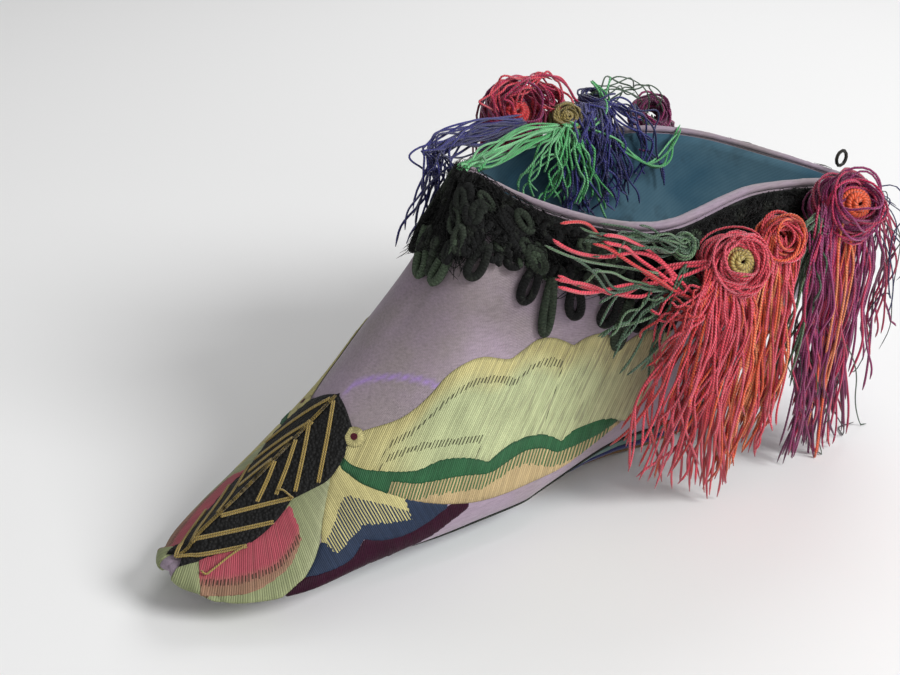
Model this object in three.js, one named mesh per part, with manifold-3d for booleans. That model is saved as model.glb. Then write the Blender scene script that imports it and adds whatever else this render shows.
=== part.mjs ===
// A lotus shoe: a satin upper with a hollow pointed toe on a thin layered sole,
// trimmed round the collar with black braid and hung with silk tassels.
// Millimetres. +X runs from heel to toe, +Y to the wearer's left, +Z up.
// The origin is under the heel, on the floor.

import * as THREE from 'three';
import { mergeVertices } from 'three/addons/utils/BufferGeometryUtils.js';
import Module from 'manifold-3d';

const wasm = await Module();
wasm.setup();

// Main sizes of the shoe
const SHOE_LENGTH = 165;    // back of the collar to the tip of the toe
const UPPER_HEIGHT = 57.7;  // top of the sole to the collar's peak in front
const COLLAR_WIDTH = 50;    // across the widest part of the opening
const BALL_WIDTH = 31.6;    // across the sole under the ball of the foot
const VAMP_SWELL = 15;      // how far the upper swells out past the edge of the sole
const UPPER_WALL = 1.5;     // satin, paste and lining together

// Sole layers, from the floor up, with the paste joint between two layers
const LEATHER_THICKNESS = 1.0;
const NAVY_THICKNESS = 1.2;
const TEAL_THICKNESS = 2.0;
const INSOLE_THICKNESS = 1.2;
const JOINT = 0.3;
const SOLE_TOP = LEATHER_THICKNESS + NAVY_THICKNESS + TEAL_THICKNESS + 3 * JOINT;

// Rise of the sole off the floor, and where along the shoe it lies flat
const ARCH_RISE = 2.4;
const TOE_SPRING = 0.8;
const HEEL_FLAT_END = 0.36 * SHOE_LENGTH;
const BALL_FLAT_START = 0.63 * SHOE_LENGTH;
const BALL_FLAT_END = 0.80 * SHOE_LENGTH;
const SOLE_FRONT_X = 0.933 * SHOE_LENGTH;
const HEEL_REST_X = 0.285 * SHOE_LENGTH;

// How far each layer's edge stands outside the line where the upper meets the sole
const TEAL_SPREAD = 0.5;
const NAVY_SPREAD = 0.5;
const LEATHER_SPREAD = -0.2;
const EDGE_ROUND = 0.35;
const INSOLE_INSET = UPPER_WALL + 0.7;

// Overlays and trim
const TRIM_GAP = 0.3;
const PANEL_THICKNESS = 0.7;
const BINDING_GAP = 0.5;
const BINDING_WIDTH = 2.2;
const BINDING_HEIGHT = 1.6;
const BRAID_THICKNESS = 1.7;
const BRAID_DEPTH = 11.5;
const LOOP_CORD = 1.7;
const LOOP_WIDTH = 4.6;
const LOOP_HANG = 10;
const HOOK_RADIUS = 1.7;
const HOOK_WIRE = 0.8;
const TASSEL_HEAD = 5;
const TASSEL_DROP = 40;

const COLOURS = {
  lilac: 0x94809b,
  black: 0x1e1e1c,
  teal: 0x325a55,
  navy: 0x141e50,
  leather: 0x5a3c14,
  lining: 0x3c6478,
  wire: 0x2a2824,
  coral: 0xd7465a,
  orange: 0xd75a32,
  magenta: 0x781450,
  crimson: 0xaa1446,
  green: 0x46a05a,
  darkGreen: 0x3c553c,
  deepBlue: 0x23236e,
};

// Half sections of the upper, from the back seam round to the toe. A row is one curve from
// the sole's edge (foot) up to the collar or, past the peak, to the ridge (top). The x
// columns are shares of SHOE_LENGTH. footY is a share of half the BALL_WIDTH, topY of half
// the COLLAR_WIDTH. topZ, footUp and topDown are shares of UPPER_HEIGHT, and footOut and
// topOut of VAMP_SWELL. faces is the way the curve leans out, in degrees from +Y towards -X.
const SECTIONS = [
  // footX footY  footOut footUp topX   topY   topZ   topOut topDown faces
  [0.206, 0.000, 0.20, 0.070, -0.012, 0.000, 0.620, 0.00, 0.26, 90],
  [0.241, 0.425, 0.21, 0.070, 0.048, 0.376, 0.690, 0.00, 0.26, 54],
  [0.294, 0.620, 0.26, 0.070, 0.156, 0.876, 0.790, 0.00, 0.26, 16],
  [0.419, 0.751, 0.34, 0.070, 0.334, 0.936, 0.872, 0.00, 0.26, 2],
  [0.522, 0.904, 0.46, 0.070, 0.492, 0.992, 0.856, 0.00, 0.26, -5],
  [0.597, 0.958, 0.59, 0.055, 0.574, 0.520, 0.900, 0.13, 0.26, -10],
  [0.630, 1.000, 0.70, 0.060, 0.625, 0.000, 1.000, 0.82, 0.19, -13],
  [0.687, 0.991, 0.73, 0.075, 0.678, 0.000, 0.690, 1.06, 0.026, -14],
  [0.747, 0.958, 0.70, 0.060, 0.751, 0.000, 0.499, 0.97, 0.045, -13],
  [0.818, 0.822, 0.78, 0.025, 0.834, 0.000, 0.341, 0.97, 0.107, -14],
  [0.885, 0.512, 1.10, -0.010, 0.908, 0.000, 0.211, 0.98, 0.175, -15],
  [0.933, 0.000, 1.03, -0.020, 0.961, 0.000, 0.125, 0.82, 0.160, -25],
  [0.974, 0.000, 0.80, -0.020, 0.978, 0.000, 0.080, 0.36, 0.00, -28],
  [1.000, 0.000, 0.00, 0.000, 1.000, 0.000, 0.060, 0.00, 0.00, -40],
];
const [FOOT_X, FOOT_Y, FOOT_OUT, FOOT_UP, TOP_X, TOP_Y, TOP_Z, TOP_OUT, TOP_DOWN, FACES] =
  SECTIONS[0].keys();
const PEAK_ROW = 6;
const SOLE_FRONT_ROW = 11;
const TOE_ROW = SECTIONS.length - 1;

// A row's mirror image across the shoe's middle, which keeps the curves square to it there
function mirrored(row, facesAfter) {
  const copy = [...row];
  copy[FOOT_Y] = -row[FOOT_Y];
  copy[TOP_Y] = -row[TOP_Y];
  copy[FACES] = facesAfter;
  return copy;
}

// The row past an end that carries on in a straight line
function onwards(end, before) {
  return end.map((value, column) => 2 * value - before[column]);
}

function pastToe() {
  const row = onwards(SECTIONS[TOE_ROW], SECTIONS[TOE_ROW - 1]);
  row[FOOT_X] = SECTIONS[TOE_ROW - 1][FOOT_X];
  row[TOP_X] = SECTIONS[TOE_ROW - 1][TOP_X];
  return row;
}

const BEFORE_BACK = mirrored(SECTIONS[1], 180 - SECTIONS[1][FACES]);
const PAST_TOE = pastToe();

// One column between two rows, as a smooth curve through its neighbours. A break row is one
// where the column turns a corner: the curve ends there and a new one starts.
function column(station, index, breakRow, mirrorAtBreak) {
  const row = Math.min(Math.floor(station), TOE_ROW - 1);
  const t = station - row;
  const at = (r) => {
    if (r < 0) return BEFORE_BACK[index];
    if (r > TOE_ROW) return PAST_TOE[index];
    return SECTIONS[r][index];
  };
  let a = at(row - 1);
  let d = at(row + 2);
  const b = at(row);
  const c = at(row + 1);
  if (row + 1 === breakRow) d = mirrorAtBreak ? (index === FOOT_Y ? -b : b) : 2 * c - b;
  if (row === breakRow) a = 2 * b - c;
  return 0.5 * (2 * b + (c - a) * t + (2 * a - 5 * b + 4 * c - d) * t * t
    + (3 * b - a - 3 * c + d) * t * t * t);
}

// Rise of the sole's underside off the floor at a distance from the back of the collar
function soleLift(x) {
  if (x > BALL_FLAT_END) {
    return TOE_SPRING * Math.min(1, ((x - BALL_FLAT_END) / (SOLE_FRONT_X - BALL_FLAT_END)) ** 2);
  }
  if (x < HEEL_FLAT_END || x > BALL_FLAT_START) return 0;
  const share = (x - HEEL_FLAT_END) / (BALL_FLAT_START - HEEL_FLAT_END);
  return ARCH_RISE * Math.sin(Math.PI * share) ** 2;
}

// Where the upper meets the sole, on the left side
function footPoint(station) {
  const x = SHOE_LENGTH * column(station, FOOT_X, SOLE_FRONT_ROW, true);
  const y = BALL_WIDTH / 2 * Math.max(0, column(station, FOOT_Y, SOLE_FRONT_ROW, true));
  if (station >= SOLE_FRONT_ROW) {
    const rise = Math.max(0, station - (TOE_ROW - 1));
    const z = SOLE_TOP + TOE_SPRING + (UPPER_HEIGHT * SECTIONS[TOE_ROW][TOP_Z] - TOE_SPRING) * rise ** 2;
    return new THREE.Vector3(x, 0, z);
  }
  return new THREE.Vector3(x, y, SOLE_TOP + soleLift(x));
}

// The collar's edge, and past its peak the ridge, on the left side
function topPoint(station) {
  return new THREE.Vector3(
    SHOE_LENGTH * column(station, TOP_X, PEAK_ROW, false),
    station >= PEAK_ROW ? 0 : COLLAR_WIDTH / 2 * column(station, TOP_Y, PEAK_ROW, false),
    SOLE_TOP + UPPER_HEIGHT * column(station, TOP_Z, PEAK_ROW, false),
  );
}

// The outside of the upper, left side: level 0 at the sole, 1 at the collar or ridge
function outside(station, level) {
  const foot = footPoint(station);
  const top = topPoint(station);
  const angle = THREE.MathUtils.degToRad(column(station, FACES, -1, false));
  const out = new THREE.Vector3(-Math.sin(angle), Math.cos(angle), 0);
  const footOut = VAMP_SWELL * column(station, FOOT_OUT, -1, false);
  const topOut = VAMP_SWELL * column(station, TOP_OUT, PEAK_ROW, false);
  const lower = foot.clone().addScaledVector(out, footOut);
  lower.z += UPPER_HEIGHT * column(station, FOOT_UP, -1, false);
  const upper = top.clone().addScaledVector(out, topOut);
  upper.z -= UPPER_HEIGHT * column(station, TOP_DOWN, PEAK_ROW, false);
  return new THREE.CubicBezierCurve3(foot, lower, upper, top).getPoint(level);
}

function onMiddle(station, level) {
  return station === 0 || station === TOE_ROW || (level === 1 && station >= PEAK_ROW)
    || (level === 0 && station >= SOLE_FRONT_ROW);
}

const NUDGE = 1e-3;
const MITRE_LIMIT = 1.4;

// A point off the upper's left side by a distance along the way it faces
function skin(station, level, distance) {
  const point = outside(station, level);
  const s = THREE.MathUtils.clamp(station, NUDGE, TOE_ROW - NUDGE);
  const l = THREE.MathUtils.clamp(level, NUDGE, 1 - NUDGE);
  const along = outside(s + NUDGE, l).sub(outside(s - NUDGE, l));
  const up = outside(s, l + NUDGE).sub(outside(s, l - NUDGE));
  const normal = up.cross(along).normalize();
  if (station === TOE_ROW) normal.set(1, 0, 0);
  if (!onMiddle(station, level)) return point.addScaledVector(normal, distance);
  const flat = Math.hypot(normal.x, normal.z);
  const mitre = Math.min(MITRE_LIMIT, 1 / flat);
  point.x += normal.x / flat * mitre * distance;
  point.z += normal.z / flat * mitre * distance;
  point.y = 0;
  return point;
}

// Collects points and faces of a closed body. Points that meet become one.
class Body {
  constructor() {
    this.points = [];
    this.faces = [];
  }

  add(point) {
    this.points.push(point.x, point.y, point.z);
    return this.points.length / 3 - 1;
  }

  quad(a, b, c, d) {
    this.faces.push(a, b, c, a, c, d);
  }

  geometry() {
    const raw = new THREE.BufferGeometry();
    raw.setAttribute('position', new THREE.Float32BufferAttribute(this.points, 3));
    raw.setIndex(this.faces);
    return tidyFaces(mergeVertices(raw, 1e-4));
  }
}

// Drops the faces that merging has closed up to a line
function tidyFaces(geometry) {
  const index = geometry.index.array;
  const kept = [];
  for (let i = 0; i < index.length; i += 3) {
    const [a, b, c] = [index[i], index[i + 1], index[i + 2]];
    if (a !== b && b !== c && c !== a) kept.push(a, b, c);
  }
  geometry.setIndex(kept);
  return geometry;
}

function toSolid(geometry) {
  const plain = geometry.clone();
  plain.deleteAttribute('normal');
  plain.deleteAttribute('uv');
  const merged = tidyFaces(mergeVertices(plain, 1e-4));
  return new wasm.Manifold(new wasm.Mesh({
    numProp: 3,
    vertProperties: new Float32Array(merged.attributes.position.array),
    triVerts: new Uint32Array(merged.index.array),
  }));
}

function toGeometry(solid) {
  const mesh = solid.getMesh();
  const geometry = new THREE.BufferGeometry();
  geometry.setAttribute('position', new THREE.Float32BufferAttribute(mesh.vertProperties, 3));
  geometry.setIndex([...mesh.triVerts]);
  return geometry;
}

// A closed sheet that follows the upper between two distances from its outside
const STEPS_PER_ROW = 3;
const LEVEL_STEPS = 8;

function sheet(nearDistance, farDistance) {
  const body = new Body();
  const stations = TOE_ROW * STEPS_PER_ROW;
  const grid = (distance, side) => {
    const rows = [];
    for (let i = 0; i <= stations; i += 1) {
      const row = [];
      for (let j = 0; j <= LEVEL_STEPS; j += 1) {
        const point = skin(i / STEPS_PER_ROW, j / LEVEL_STEPS, distance);
        point.y *= side;
        row.push(body.add(point));
      }
      rows.push(row);
    }
    return rows;
  };
  for (const side of [1, -1]) {
    const near = grid(nearDistance, side);
    const far = grid(farDistance, side);
    const turn = (a, b, c, d) => (side > 0 ? body.quad(a, b, c, d) : body.quad(d, c, b, a));
    for (let i = 0; i < stations; i += 1) {
      for (let j = 0; j < LEVEL_STEPS; j += 1) {
        turn(far[i][j], far[i][j + 1], far[i + 1][j + 1], far[i + 1][j]);
        turn(near[i + 1][j], near[i + 1][j + 1], near[i][j + 1], near[i][j]);
      }
      if (i < SOLE_FRONT_ROW * STEPS_PER_ROW) {
        turn(near[i][0], far[i][0], far[i + 1][0], near[i + 1][0]);
      }
      if (i < PEAK_ROW * STEPS_PER_ROW) {
        const top = LEVEL_STEPS;
        turn(far[i][top], near[i][top], near[i + 1][top], far[i + 1][top]);
      }
    }
  }
  return body.geometry();
}

// One layer of the sole: the foot line moved out by spread, from one height to the next. The
// sole's side leans in under the ball, so what treads on the floor is a narrow spindle. TREAD
// is its half width at the floor for each row of the sections, as a share of the foot line's.
const SOLE_STEPS = 23;
const TREAD = [1, 1, 1, 0.87, 0.72, 0.6, 0.5, 0.5, 0.5, 0.47, 0.55, 0.6];

function treadShare(station, height) {
  const row = Math.min(Math.floor(station), SOLE_FRONT_ROW - 1);
  const atFloor = THREE.MathUtils.lerp(TREAD[row], TREAD[row + 1], station - row);
  const depth = THREE.MathUtils.clamp(1 - height / SOLE_TOP, 0, 1);
  return THREE.MathUtils.lerp(1, atFloor, depth);
}

function soleLayer(spread, bottom, thickness) {
  const body = new Body();
  const round = Math.min(EDGE_ROUND, thickness / 3);
  const profile = [
    [spread - round, bottom],
    [spread, bottom + round],
    [spread, bottom + thickness - round],
    [spread - round, bottom + thickness],
  ];
  const edge = (i, out, height, side) => {
    const station = SOLE_FRONT_ROW * i / SOLE_STEPS;
    const point = footPoint(station);
    const ahead = footPoint(Math.min(station + NUDGE, SOLE_FRONT_ROW - NUDGE / 2));
    const behind = footPoint(Math.max(station - NUDGE, 0));
    const run = ahead.sub(behind).setZ(0).normalize();
    if (i === 0) run.set(0, 1, 0);
    if (i === SOLE_STEPS) run.set(0, -1, 0);
    point.x -= run.y * out;
    point.y = (point.y + run.x * out) * treadShare(station, height);
    point.z = soleLift(point.x) + height;
    if (i === 0 || i === SOLE_STEPS) point.y = 0;
    point.y *= side;
    return body.add(point);
  };
  const rings = profile.map(([out, height]) => [1, -1].map((side) => {
    const line = [];
    for (let i = 0; i <= SOLE_STEPS; i += 1) line.push(edge(i, out, height, side));
    return line;
  }));
  const last = profile.length - 1;
  for (let i = 0; i < SOLE_STEPS; i += 1) {
    for (let k = 0; k < last; k += 1) {
      const [left, right] = rings[k];
      const [leftUp, rightUp] = rings[k + 1];
      body.quad(left[i], leftUp[i], leftUp[i + 1], left[i + 1]);
      body.quad(right[i + 1], rightUp[i + 1], rightUp[i], right[i]);
    }
    const [leftTop, rightTop] = rings[last];
    const [leftLow, rightLow] = rings[0];
    body.quad(leftTop[i], rightTop[i], rightTop[i + 1], leftTop[i + 1]);
    body.quad(leftLow[i + 1], rightLow[i + 1], rightLow[i], leftLow[i]);
  }
  return body.geometry();
}

// The way the collar's edge points up, and the way it faces, on the left side
function collarFrame(station) {
  const top = skin(station, 1, -UPPER_WALL / 2);
  const below = skin(station, 0.94, -UPPER_WALL / 2);
  const up = top.clone().sub(below);
  if (onMiddle(station, 1)) up.y = 0;
  up.normalize();
  const s = THREE.MathUtils.clamp(station, NUDGE, PEAK_ROW - NUDGE);
  const along = topPoint(s + NUDGE).sub(topPoint(s - NUDGE));
  if (station === 0) along.set(0, 1, 0);
  if (station === PEAK_ROW) along.set(0, -1, 0);
  const out = up.clone().cross(along).normalize();
  return { top, up, out };
}

// The binding sewn along the collar's edge, as one closed ring
const BINDING_STEPS = 18;

function bindingRing(room) {
  const body = new Body();
  const halfWidth = BINDING_WIDTH / 2 + room;
  const height = BINDING_HEIGHT + room;
  const section = [
    [halfWidth, -room],
    [halfWidth, 0.6 * height],
    [0.5 * halfWidth, height],
    [-0.5 * halfWidth, height],
    [-halfWidth, 0.6 * height],
    [-halfWidth, -room],
  ];
  const rings = [];
  const ring = (i, side) => {
    const { top, up, out } = collarFrame(PEAK_ROW * i / BINDING_STEPS);
    rings.push(section.map(([away, rise]) => {
      const point = top.clone().addScaledVector(out, away).addScaledVector(up, rise + BINDING_GAP);
      if (i === 0 || i === BINDING_STEPS) point.y = 0;
      point.y *= side;
      return body.add(point);
    }));
  };
  for (let i = 0; i <= BINDING_STEPS; i += 1) ring(i, 1);
  for (let i = BINDING_STEPS - 1; i > 0; i -= 1) ring(i, -1);
  rings.forEach((now, i) => {
    const next = rings[(i + 1) % rings.length];
    section.forEach((_, k) => {
      const up = (k + 1) % section.length;
      body.quad(now[k], now[up], next[up], next[k]);
    });
  });
  return body.geometry();
}

// A prism across the whole shoe whose outline is drawn in side view
const PRISM_REACH = SHOE_LENGTH;

function sidePrism(outline) {
  const shape = new THREE.Shape(outline.map(([x, z]) => new THREE.Vector2(x, z)));
  const prism = new THREE.ExtrudeGeometry(shape, { depth: PRISM_REACH, bevelEnabled: false });
  prism.translate(0, 0, -PRISM_REACH / 2);
  prism.rotateX(Math.PI / 2);
  return toSolid(prism);
}

// A prism from low down to well above the shoe whose outline is drawn in plan
function planPrism(outline, floor) {
  const shape = new THREE.Shape(outline.map(([x, y]) => new THREE.Vector2(x, y)));
  const prism = new THREE.ExtrudeGeometry(shape, { depth: PRISM_REACH, bevelEnabled: false });
  prism.translate(0, 0, floor);
  return toSolid(prism);
}

// The black embroidered panel over the toe: a leaf in plan, from the toe's tip up the ridge.
// A row is a place along the shoe, as a share of SHOE_LENGTH, and the leaf's half width
// there, as a share of half the BALL_WIDTH.
const PANEL_LEAF = [
  [0.793, 0.02],
  [0.805, 0.414],
  [0.830, 0.566],
  [0.848, 0.588],
  [0.876, 0.425],
  [0.905, 0.457],
  [0.930, 0.414],
  [0.960, 0.272],
  [0.985, 0.185],
];

function toePanel() {
  const half = PANEL_LEAF.map(([x, y]) => [x * SHOE_LENGTH, y * BALL_WIDTH / 2]);
  const otherHalf = half.map(([x, y]) => [x, -y]).reverse();
  const cutter = planPrism([...otherHalf, ...half].reverse(), panelFloor());
  const panel = toSolid(sheet(TRIM_GAP, TRIM_GAP + PANEL_THICKNESS)).intersect(cutter);
  return toGeometry(mainBody(clearOfUpper(panel, TRIM_GAP)));
}

// Height below which the leaf's prism would also cut the underside of the toe
function panelFloor() {
  return SOLE_TOP + TOE_SPRING + 0.4 * (outside(TOE_ROW - 1, 1).z - SOLE_TOP - TOE_SPRING);
}

// A point on the left wall a given way down from the collar or ridge
const DROP_STEPS = 40;

function dropPoint(station, down, distance) {
  let level = 1;
  let last = outside(station, 1);
  let run = 0;
  while (run < down && level > 0) {
    level = Math.max(0, level - 1 / DROP_STEPS);
    const next = outside(station, level);
    run += next.distanceTo(last);
    last = next;
  }
  return skin(station, level, distance);
}

// The largest body of a cut shape, without the chips that a cut leaves beside it
function mainBody(solid) {
  const bodies = solid.decompose();
  return bodies.reduce((most, body) => (body.volume() > most.volume() ? body : most));
}

// The room that overlays and trim leave round the upper and its binding
function clearOfUpper(solid, distance) {
  return solid.subtract(toSolid(sheet(-UPPER_WALL - TRIM_GAP, distance)));
}

function clearOfBinding(solid, room) {
  return solid.subtract(toSolid(bindingRing(room)));
}

function braidBand() {
  const upperEdge = [];
  const lowerEdge = [];
  for (let i = 0; i <= 2 * PEAK_ROW; i += 1) {
    const top = topPoint(i / 2);
    upperEdge.push([top.x, top.z + BRAID_DEPTH]);
    lowerEdge.push([top.x, top.z - BRAID_DEPTH]);
  }
  const back = topPoint(0);
  const front = topPoint(PEAK_ROW);
  const outline = [
    ...upperEdge,
    [front.x + BRAID_DEPTH, front.z],
    [front.x + BRAID_DEPTH, front.z - BRAID_DEPTH * 1.4],
    ...lowerEdge.slice(1).reverse(),
    [back.x, back.z - BRAID_DEPTH],
    [back.x - BRAID_DEPTH, back.z - BRAID_DEPTH],
    [back.x - BRAID_DEPTH, back.z + BRAID_DEPTH],
  ];
  return toSolid(sheet(TRIM_GAP, TRIM_GAP + BRAID_THICKNESS)).intersect(sidePrism(outline));
}

// A round cord along a curve. Its radius may change along it.
function cord(points, radiusAt, sides, steps) {
  const curve = new THREE.CatmullRomCurve3(points);
  const frames = curve.computeFrenetFrames(steps, false);
  const body = new Body();
  const rings = [];
  for (let i = 0; i <= steps; i += 1) {
    const centre = curve.getPointAt(i / steps);
    const ring = [];
    for (let k = 0; k < sides; k += 1) {
      const angle = 2 * Math.PI * k / sides;
      const point = centre.clone()
        .addScaledVector(frames.normals[i], Math.cos(angle) * radiusAt(i / steps))
        .addScaledVector(frames.binormals[i], Math.sin(angle) * radiusAt(i / steps));
      ring.push(body.add(point));
    }
    rings.push(ring);
  }
  for (let i = 0; i < steps; i += 1) {
    for (let k = 0; k < sides; k += 1) {
      const next = (k + 1) % sides;
      body.quad(rings[i][k], rings[i][next], rings[i + 1][next], rings[i + 1][k]);
    }
  }
  const first = body.add(curve.getPointAt(0));
  const end = body.add(curve.getPointAt(1));
  for (let k = 0; k < sides; k += 1) {
    const next = (k + 1) % sides;
    body.faces.push(first, rings[0][next], rings[0][k]);
    body.faces.push(end, rings[steps][k], rings[steps][next]);
  }
  return toSolid(body.geometry());
}

// Cord loops that hang from the braid. A row is the loop's station and how far its end
// hangs below the braid, as a share of LOOP_HANG.
const LOOPS = [
  [0.55, 0.5],
  [1.25, 0.8],
  [1.80, 0.5],
  [2.25, 0.8],
  [2.70, 0.5],
  [3.15, 0.8],
  [3.60, 0.6],
  [4.05, 0.5],
  [4.35, 1],
  [4.70, 0.5],
  [5.30, 1],
  [5.65, 0.6],
  [6.35, 0.7],
];
const LOOP_SIDES = 4;
const LOOP_STEPS = 5;
const LOOP_ROOT = 2;
const LOOP_LIFT = 0.15;

function hangingLoop(station, hang, side) {
  const width = topPoint(station + NUDGE).distanceTo(topPoint(station - NUDGE)) / (2 * NUDGE);
  const spread = LOOP_WIDTH / 2 / Math.max(width, LOOP_WIDTH);
  const points = [];
  for (let i = 0; i <= LOOP_STEPS; i += 1) {
    const angle = Math.PI * i / LOOP_STEPS;
    const down = BRAID_DEPTH - LOOP_ROOT + (hang + LOOP_ROOT) * Math.sin(angle);
    const off = TRIM_GAP + LOOP_LIFT + LOOP_CORD / 2;
    const point = dropPoint(station - spread * Math.cos(angle), down, off);
    point.y *= side;
    points.push(point);
  }
  return cord(points, () => LOOP_CORD / 2, LOOP_SIDES, LOOP_STEPS);
}

function braid() {
  let solid = braidBand();
  for (const [station, share] of LOOPS) {
    const hang = share * LOOP_HANG;
    for (const side of [1, -1]) solid = solid.add(hangingLoop(station, hang, side));
  }
  return toGeometry(mainBody(clearOfBinding(clearOfUpper(solid, TRIM_GAP), TRIM_GAP)));
}

// The small wire ring that stands on the binding at the back of the collar
function backHook() {
  const hook = new THREE.TorusGeometry(HOOK_RADIUS, HOOK_WIRE / 2, 5, 12);
  const { top, up } = collarFrame(0);
  const rise = BINDING_GAP + BINDING_HEIGHT + TRIM_GAP + HOOK_WIRE / 2 + HOOK_RADIUS;
  hook.rotateX(Math.PI / 2);
  hook.translate(top.x + up.x * rise, 0, top.z + up.z * rise);
  return toGeometry(toSolid(hook));
}

// Tassels round the collar. station is the head's place along the collar and side the side
// of the shoe. As shares of TASSEL_HEAD, lift is the head's height over the collar's edge,
// away how far it stands off the wall, and head its radius. As shares of TASSEL_DROP, drop is
// how far the locks hang and lean how far their ends go towards the toe. cast is how far the
// locks stand off the head's middle, in head radii: less than nothing where they fall inside.
const TASSELS = [
  { name: 'tassel_coral', colour: 'coral', side: 1, station: 3.45, lift: -1.8, away: 1.4, head: 1,
    drop: 1, lean: 0.3, locks: 7, cast: 0.75 },
  { name: 'tassel_orange', colour: 'orange', side: 1, station: 2.95, lift: -1.2, away: 1.4,
    head: 0.8, drop: 1.1, lean: 0.125, locks: 5, cast: 0.75 },
  { name: 'tassel_magenta', colour: 'magenta', side: 1, station: 2.3, lift: -0.4, away: 1.6,
    head: 1.2, drop: 1.075, lean: 0.075, locks: 7, cast: 0.75 },
  { name: 'tassel_dark_green', colour: 'darkGreen', side: 1, station: 4.1, lift: -1.6, away: 1,
    head: 0.48, drop: 0.325, lean: 0.2, locks: 4, cast: 0.75 },
  { name: 'tassel_crimson', colour: 'crimson', side: -1, station: 3.7, lift: 1, away: 1, head: 1.2,
    drop: 0.65, lean: 0.075, locks: 5, cast: 0.75 },
  { name: 'tassel_bright_green', colour: 'green', side: -1, station: 3.15, lift: 1, away: 0,
    head: 0.64, drop: 0.6, lean: 0.05, locks: 5, cast: -1.9 },
  { name: 'tassel_deep_blue', colour: 'deepBlue', side: -1, station: 2.75, lift: 1.3, away: 0.2,
    head: 0.8, drop: 0.75, lean: -0.025, locks: 5, cast: -1.8 },
  { name: 'tassel_far_magenta', colour: 'magenta', side: -1, station: 2.3, lift: 0.6, away: 1.2,
    head: 1, drop: 0.8, lean: -0.075, locks: 5, cast: 0.75 },
];
const LOCK_ROOT = 1.7;
const LOCK_TIP = 0.9;
const LOCK_SIDES = 4;
const LOCK_STEPS = 3;
const LOCK_FAN = 0.6;
const FLOOR_ROOM = 0.5;

// One tassel on the left side of the shoe: a wound head with its locks joined on
function leftTassel(row) {
  const { station, locks, cast } = row;
  const head = row.head * TASSEL_HEAD;
  const drop = row.drop * TASSEL_DROP;
  const lean = row.lean * TASSEL_DROP;
  const { top, out } = collarFrame(station);
  out.setZ(0).normalize();
  const centre = top.clone().addScaledVector(out, row.away * TASSEL_HEAD);
  centre.z += row.lift * TASSEL_HEAD;
  const along = new THREE.Vector3(out.y, -out.x, 0);
  const ball = new THREE.SphereGeometry(head, 7, 6);
  ball.translate(centre.x, centre.y, centre.z);
  let solid = toSolid(ball);
  for (let i = 0; i < locks; i += 1) {
    const share = i / (locks - 1) * 2 - 1;
    const fan = share * head * LOCK_FAN;
    const root = centre.clone().addScaledVector(along, fan);
    const shoulder = root.clone().addScaledVector(out, cast * head);
    shoulder.z -= 0.5 * head;
    const reach = drop * (i % 2 ? 0.9 : 1);
    const middle = shoulder.clone().addScaledVector(along, fan);
    middle.x += 0.4 * lean;
    middle.z = centre.z - 0.5 * reach;
    const tip = middle.clone().addScaledVector(along, fan);
    tip.x += 0.6 * lean;
    tip.z = Math.max(centre.z - reach, LOCK_TIP + FLOOR_ROOM);
    const radius = (t) => THREE.MathUtils.lerp(LOCK_ROOT, LOCK_TIP, t);
    solid = solid.add(cord([root, shoulder, middle, tip], radius, LOCK_SIDES, LOCK_STEPS));
  }
  const besideBraid = TRIM_GAP + Math.max(BRAID_THICKNESS, LOOP_CORD + LOOP_LIFT) + 2 * TRIM_GAP;
  return mainBody(clearOfBinding(clearOfUpper(solid, besideBraid), 2 * TRIM_GAP));
}

function tassel(row) {
  const solid = leftTassel(row);
  return toGeometry(row.side > 0 ? solid : solid.mirror([0, 1, 0]));
}

function piece(name, geometry, colour, roughness, metalness = 0) {
  const material = new THREE.MeshStandardMaterial({ color: COLOURS[colour], roughness, metalness });
  const mesh = new THREE.Mesh(geometry, material);
  mesh.name = name;
  return mesh;
}

// The build stands with the heel's resting point at the origin
const shoe = new THREE.Group();
shoe.position.set(-HEEL_REST_X, 0, 0);

const navyBottom = LEATHER_THICKNESS + JOINT;
const tealBottom = navyBottom + NAVY_THICKNESS + JOINT;

shoe.add(piece('upper', sheet(-UPPER_WALL, 0), 'lilac', 0.5));
shoe.add(piece('outsole', soleLayer(LEATHER_SPREAD, 0, LEATHER_THICKNESS), 'leather', 0.7));
shoe.add(piece('sole_navy', soleLayer(NAVY_SPREAD, navyBottom, NAVY_THICKNESS), 'navy', 0.8));
shoe.add(piece('sole_teal', soleLayer(TEAL_SPREAD, tealBottom, TEAL_THICKNESS), 'teal', 0.8));
shoe.add(piece('insole', soleLayer(-INSOLE_INSET, SOLE_TOP, INSOLE_THICKNESS), 'lining', 0.9));
shoe.add(piece('toe_panel', toePanel(), 'black', 0.8));
shoe.add(piece('collar_binding', bindingRing(0), 'lilac', 0.6));
shoe.add(piece('collar_braid', braid(), 'black', 0.9));
shoe.add(piece('back_hook', backHook(), 'wire', 0.4, 0.8));
for (const row of TASSELS) shoe.add(piece(row.name, tassel(row), row.colour, 0.6));

const model = new THREE.Group();
model.add(shoe);

export default model;
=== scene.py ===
# A lotus shoe seen from its left front: embroidered satin, braid and silk tassels.
# Lengths are in millimetres until a mesh is made. +X runs from heel to toe, +Y to the
# wearer's left, +Z up, with the origin on the floor under the heel.

import math

import bmesh
import bpy
import numpy as np
from mathutils import Matrix, Vector
from mathutils.bvhtree import BVHTree
from mathutils.geometry import delaunay_2d_cdt


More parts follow.
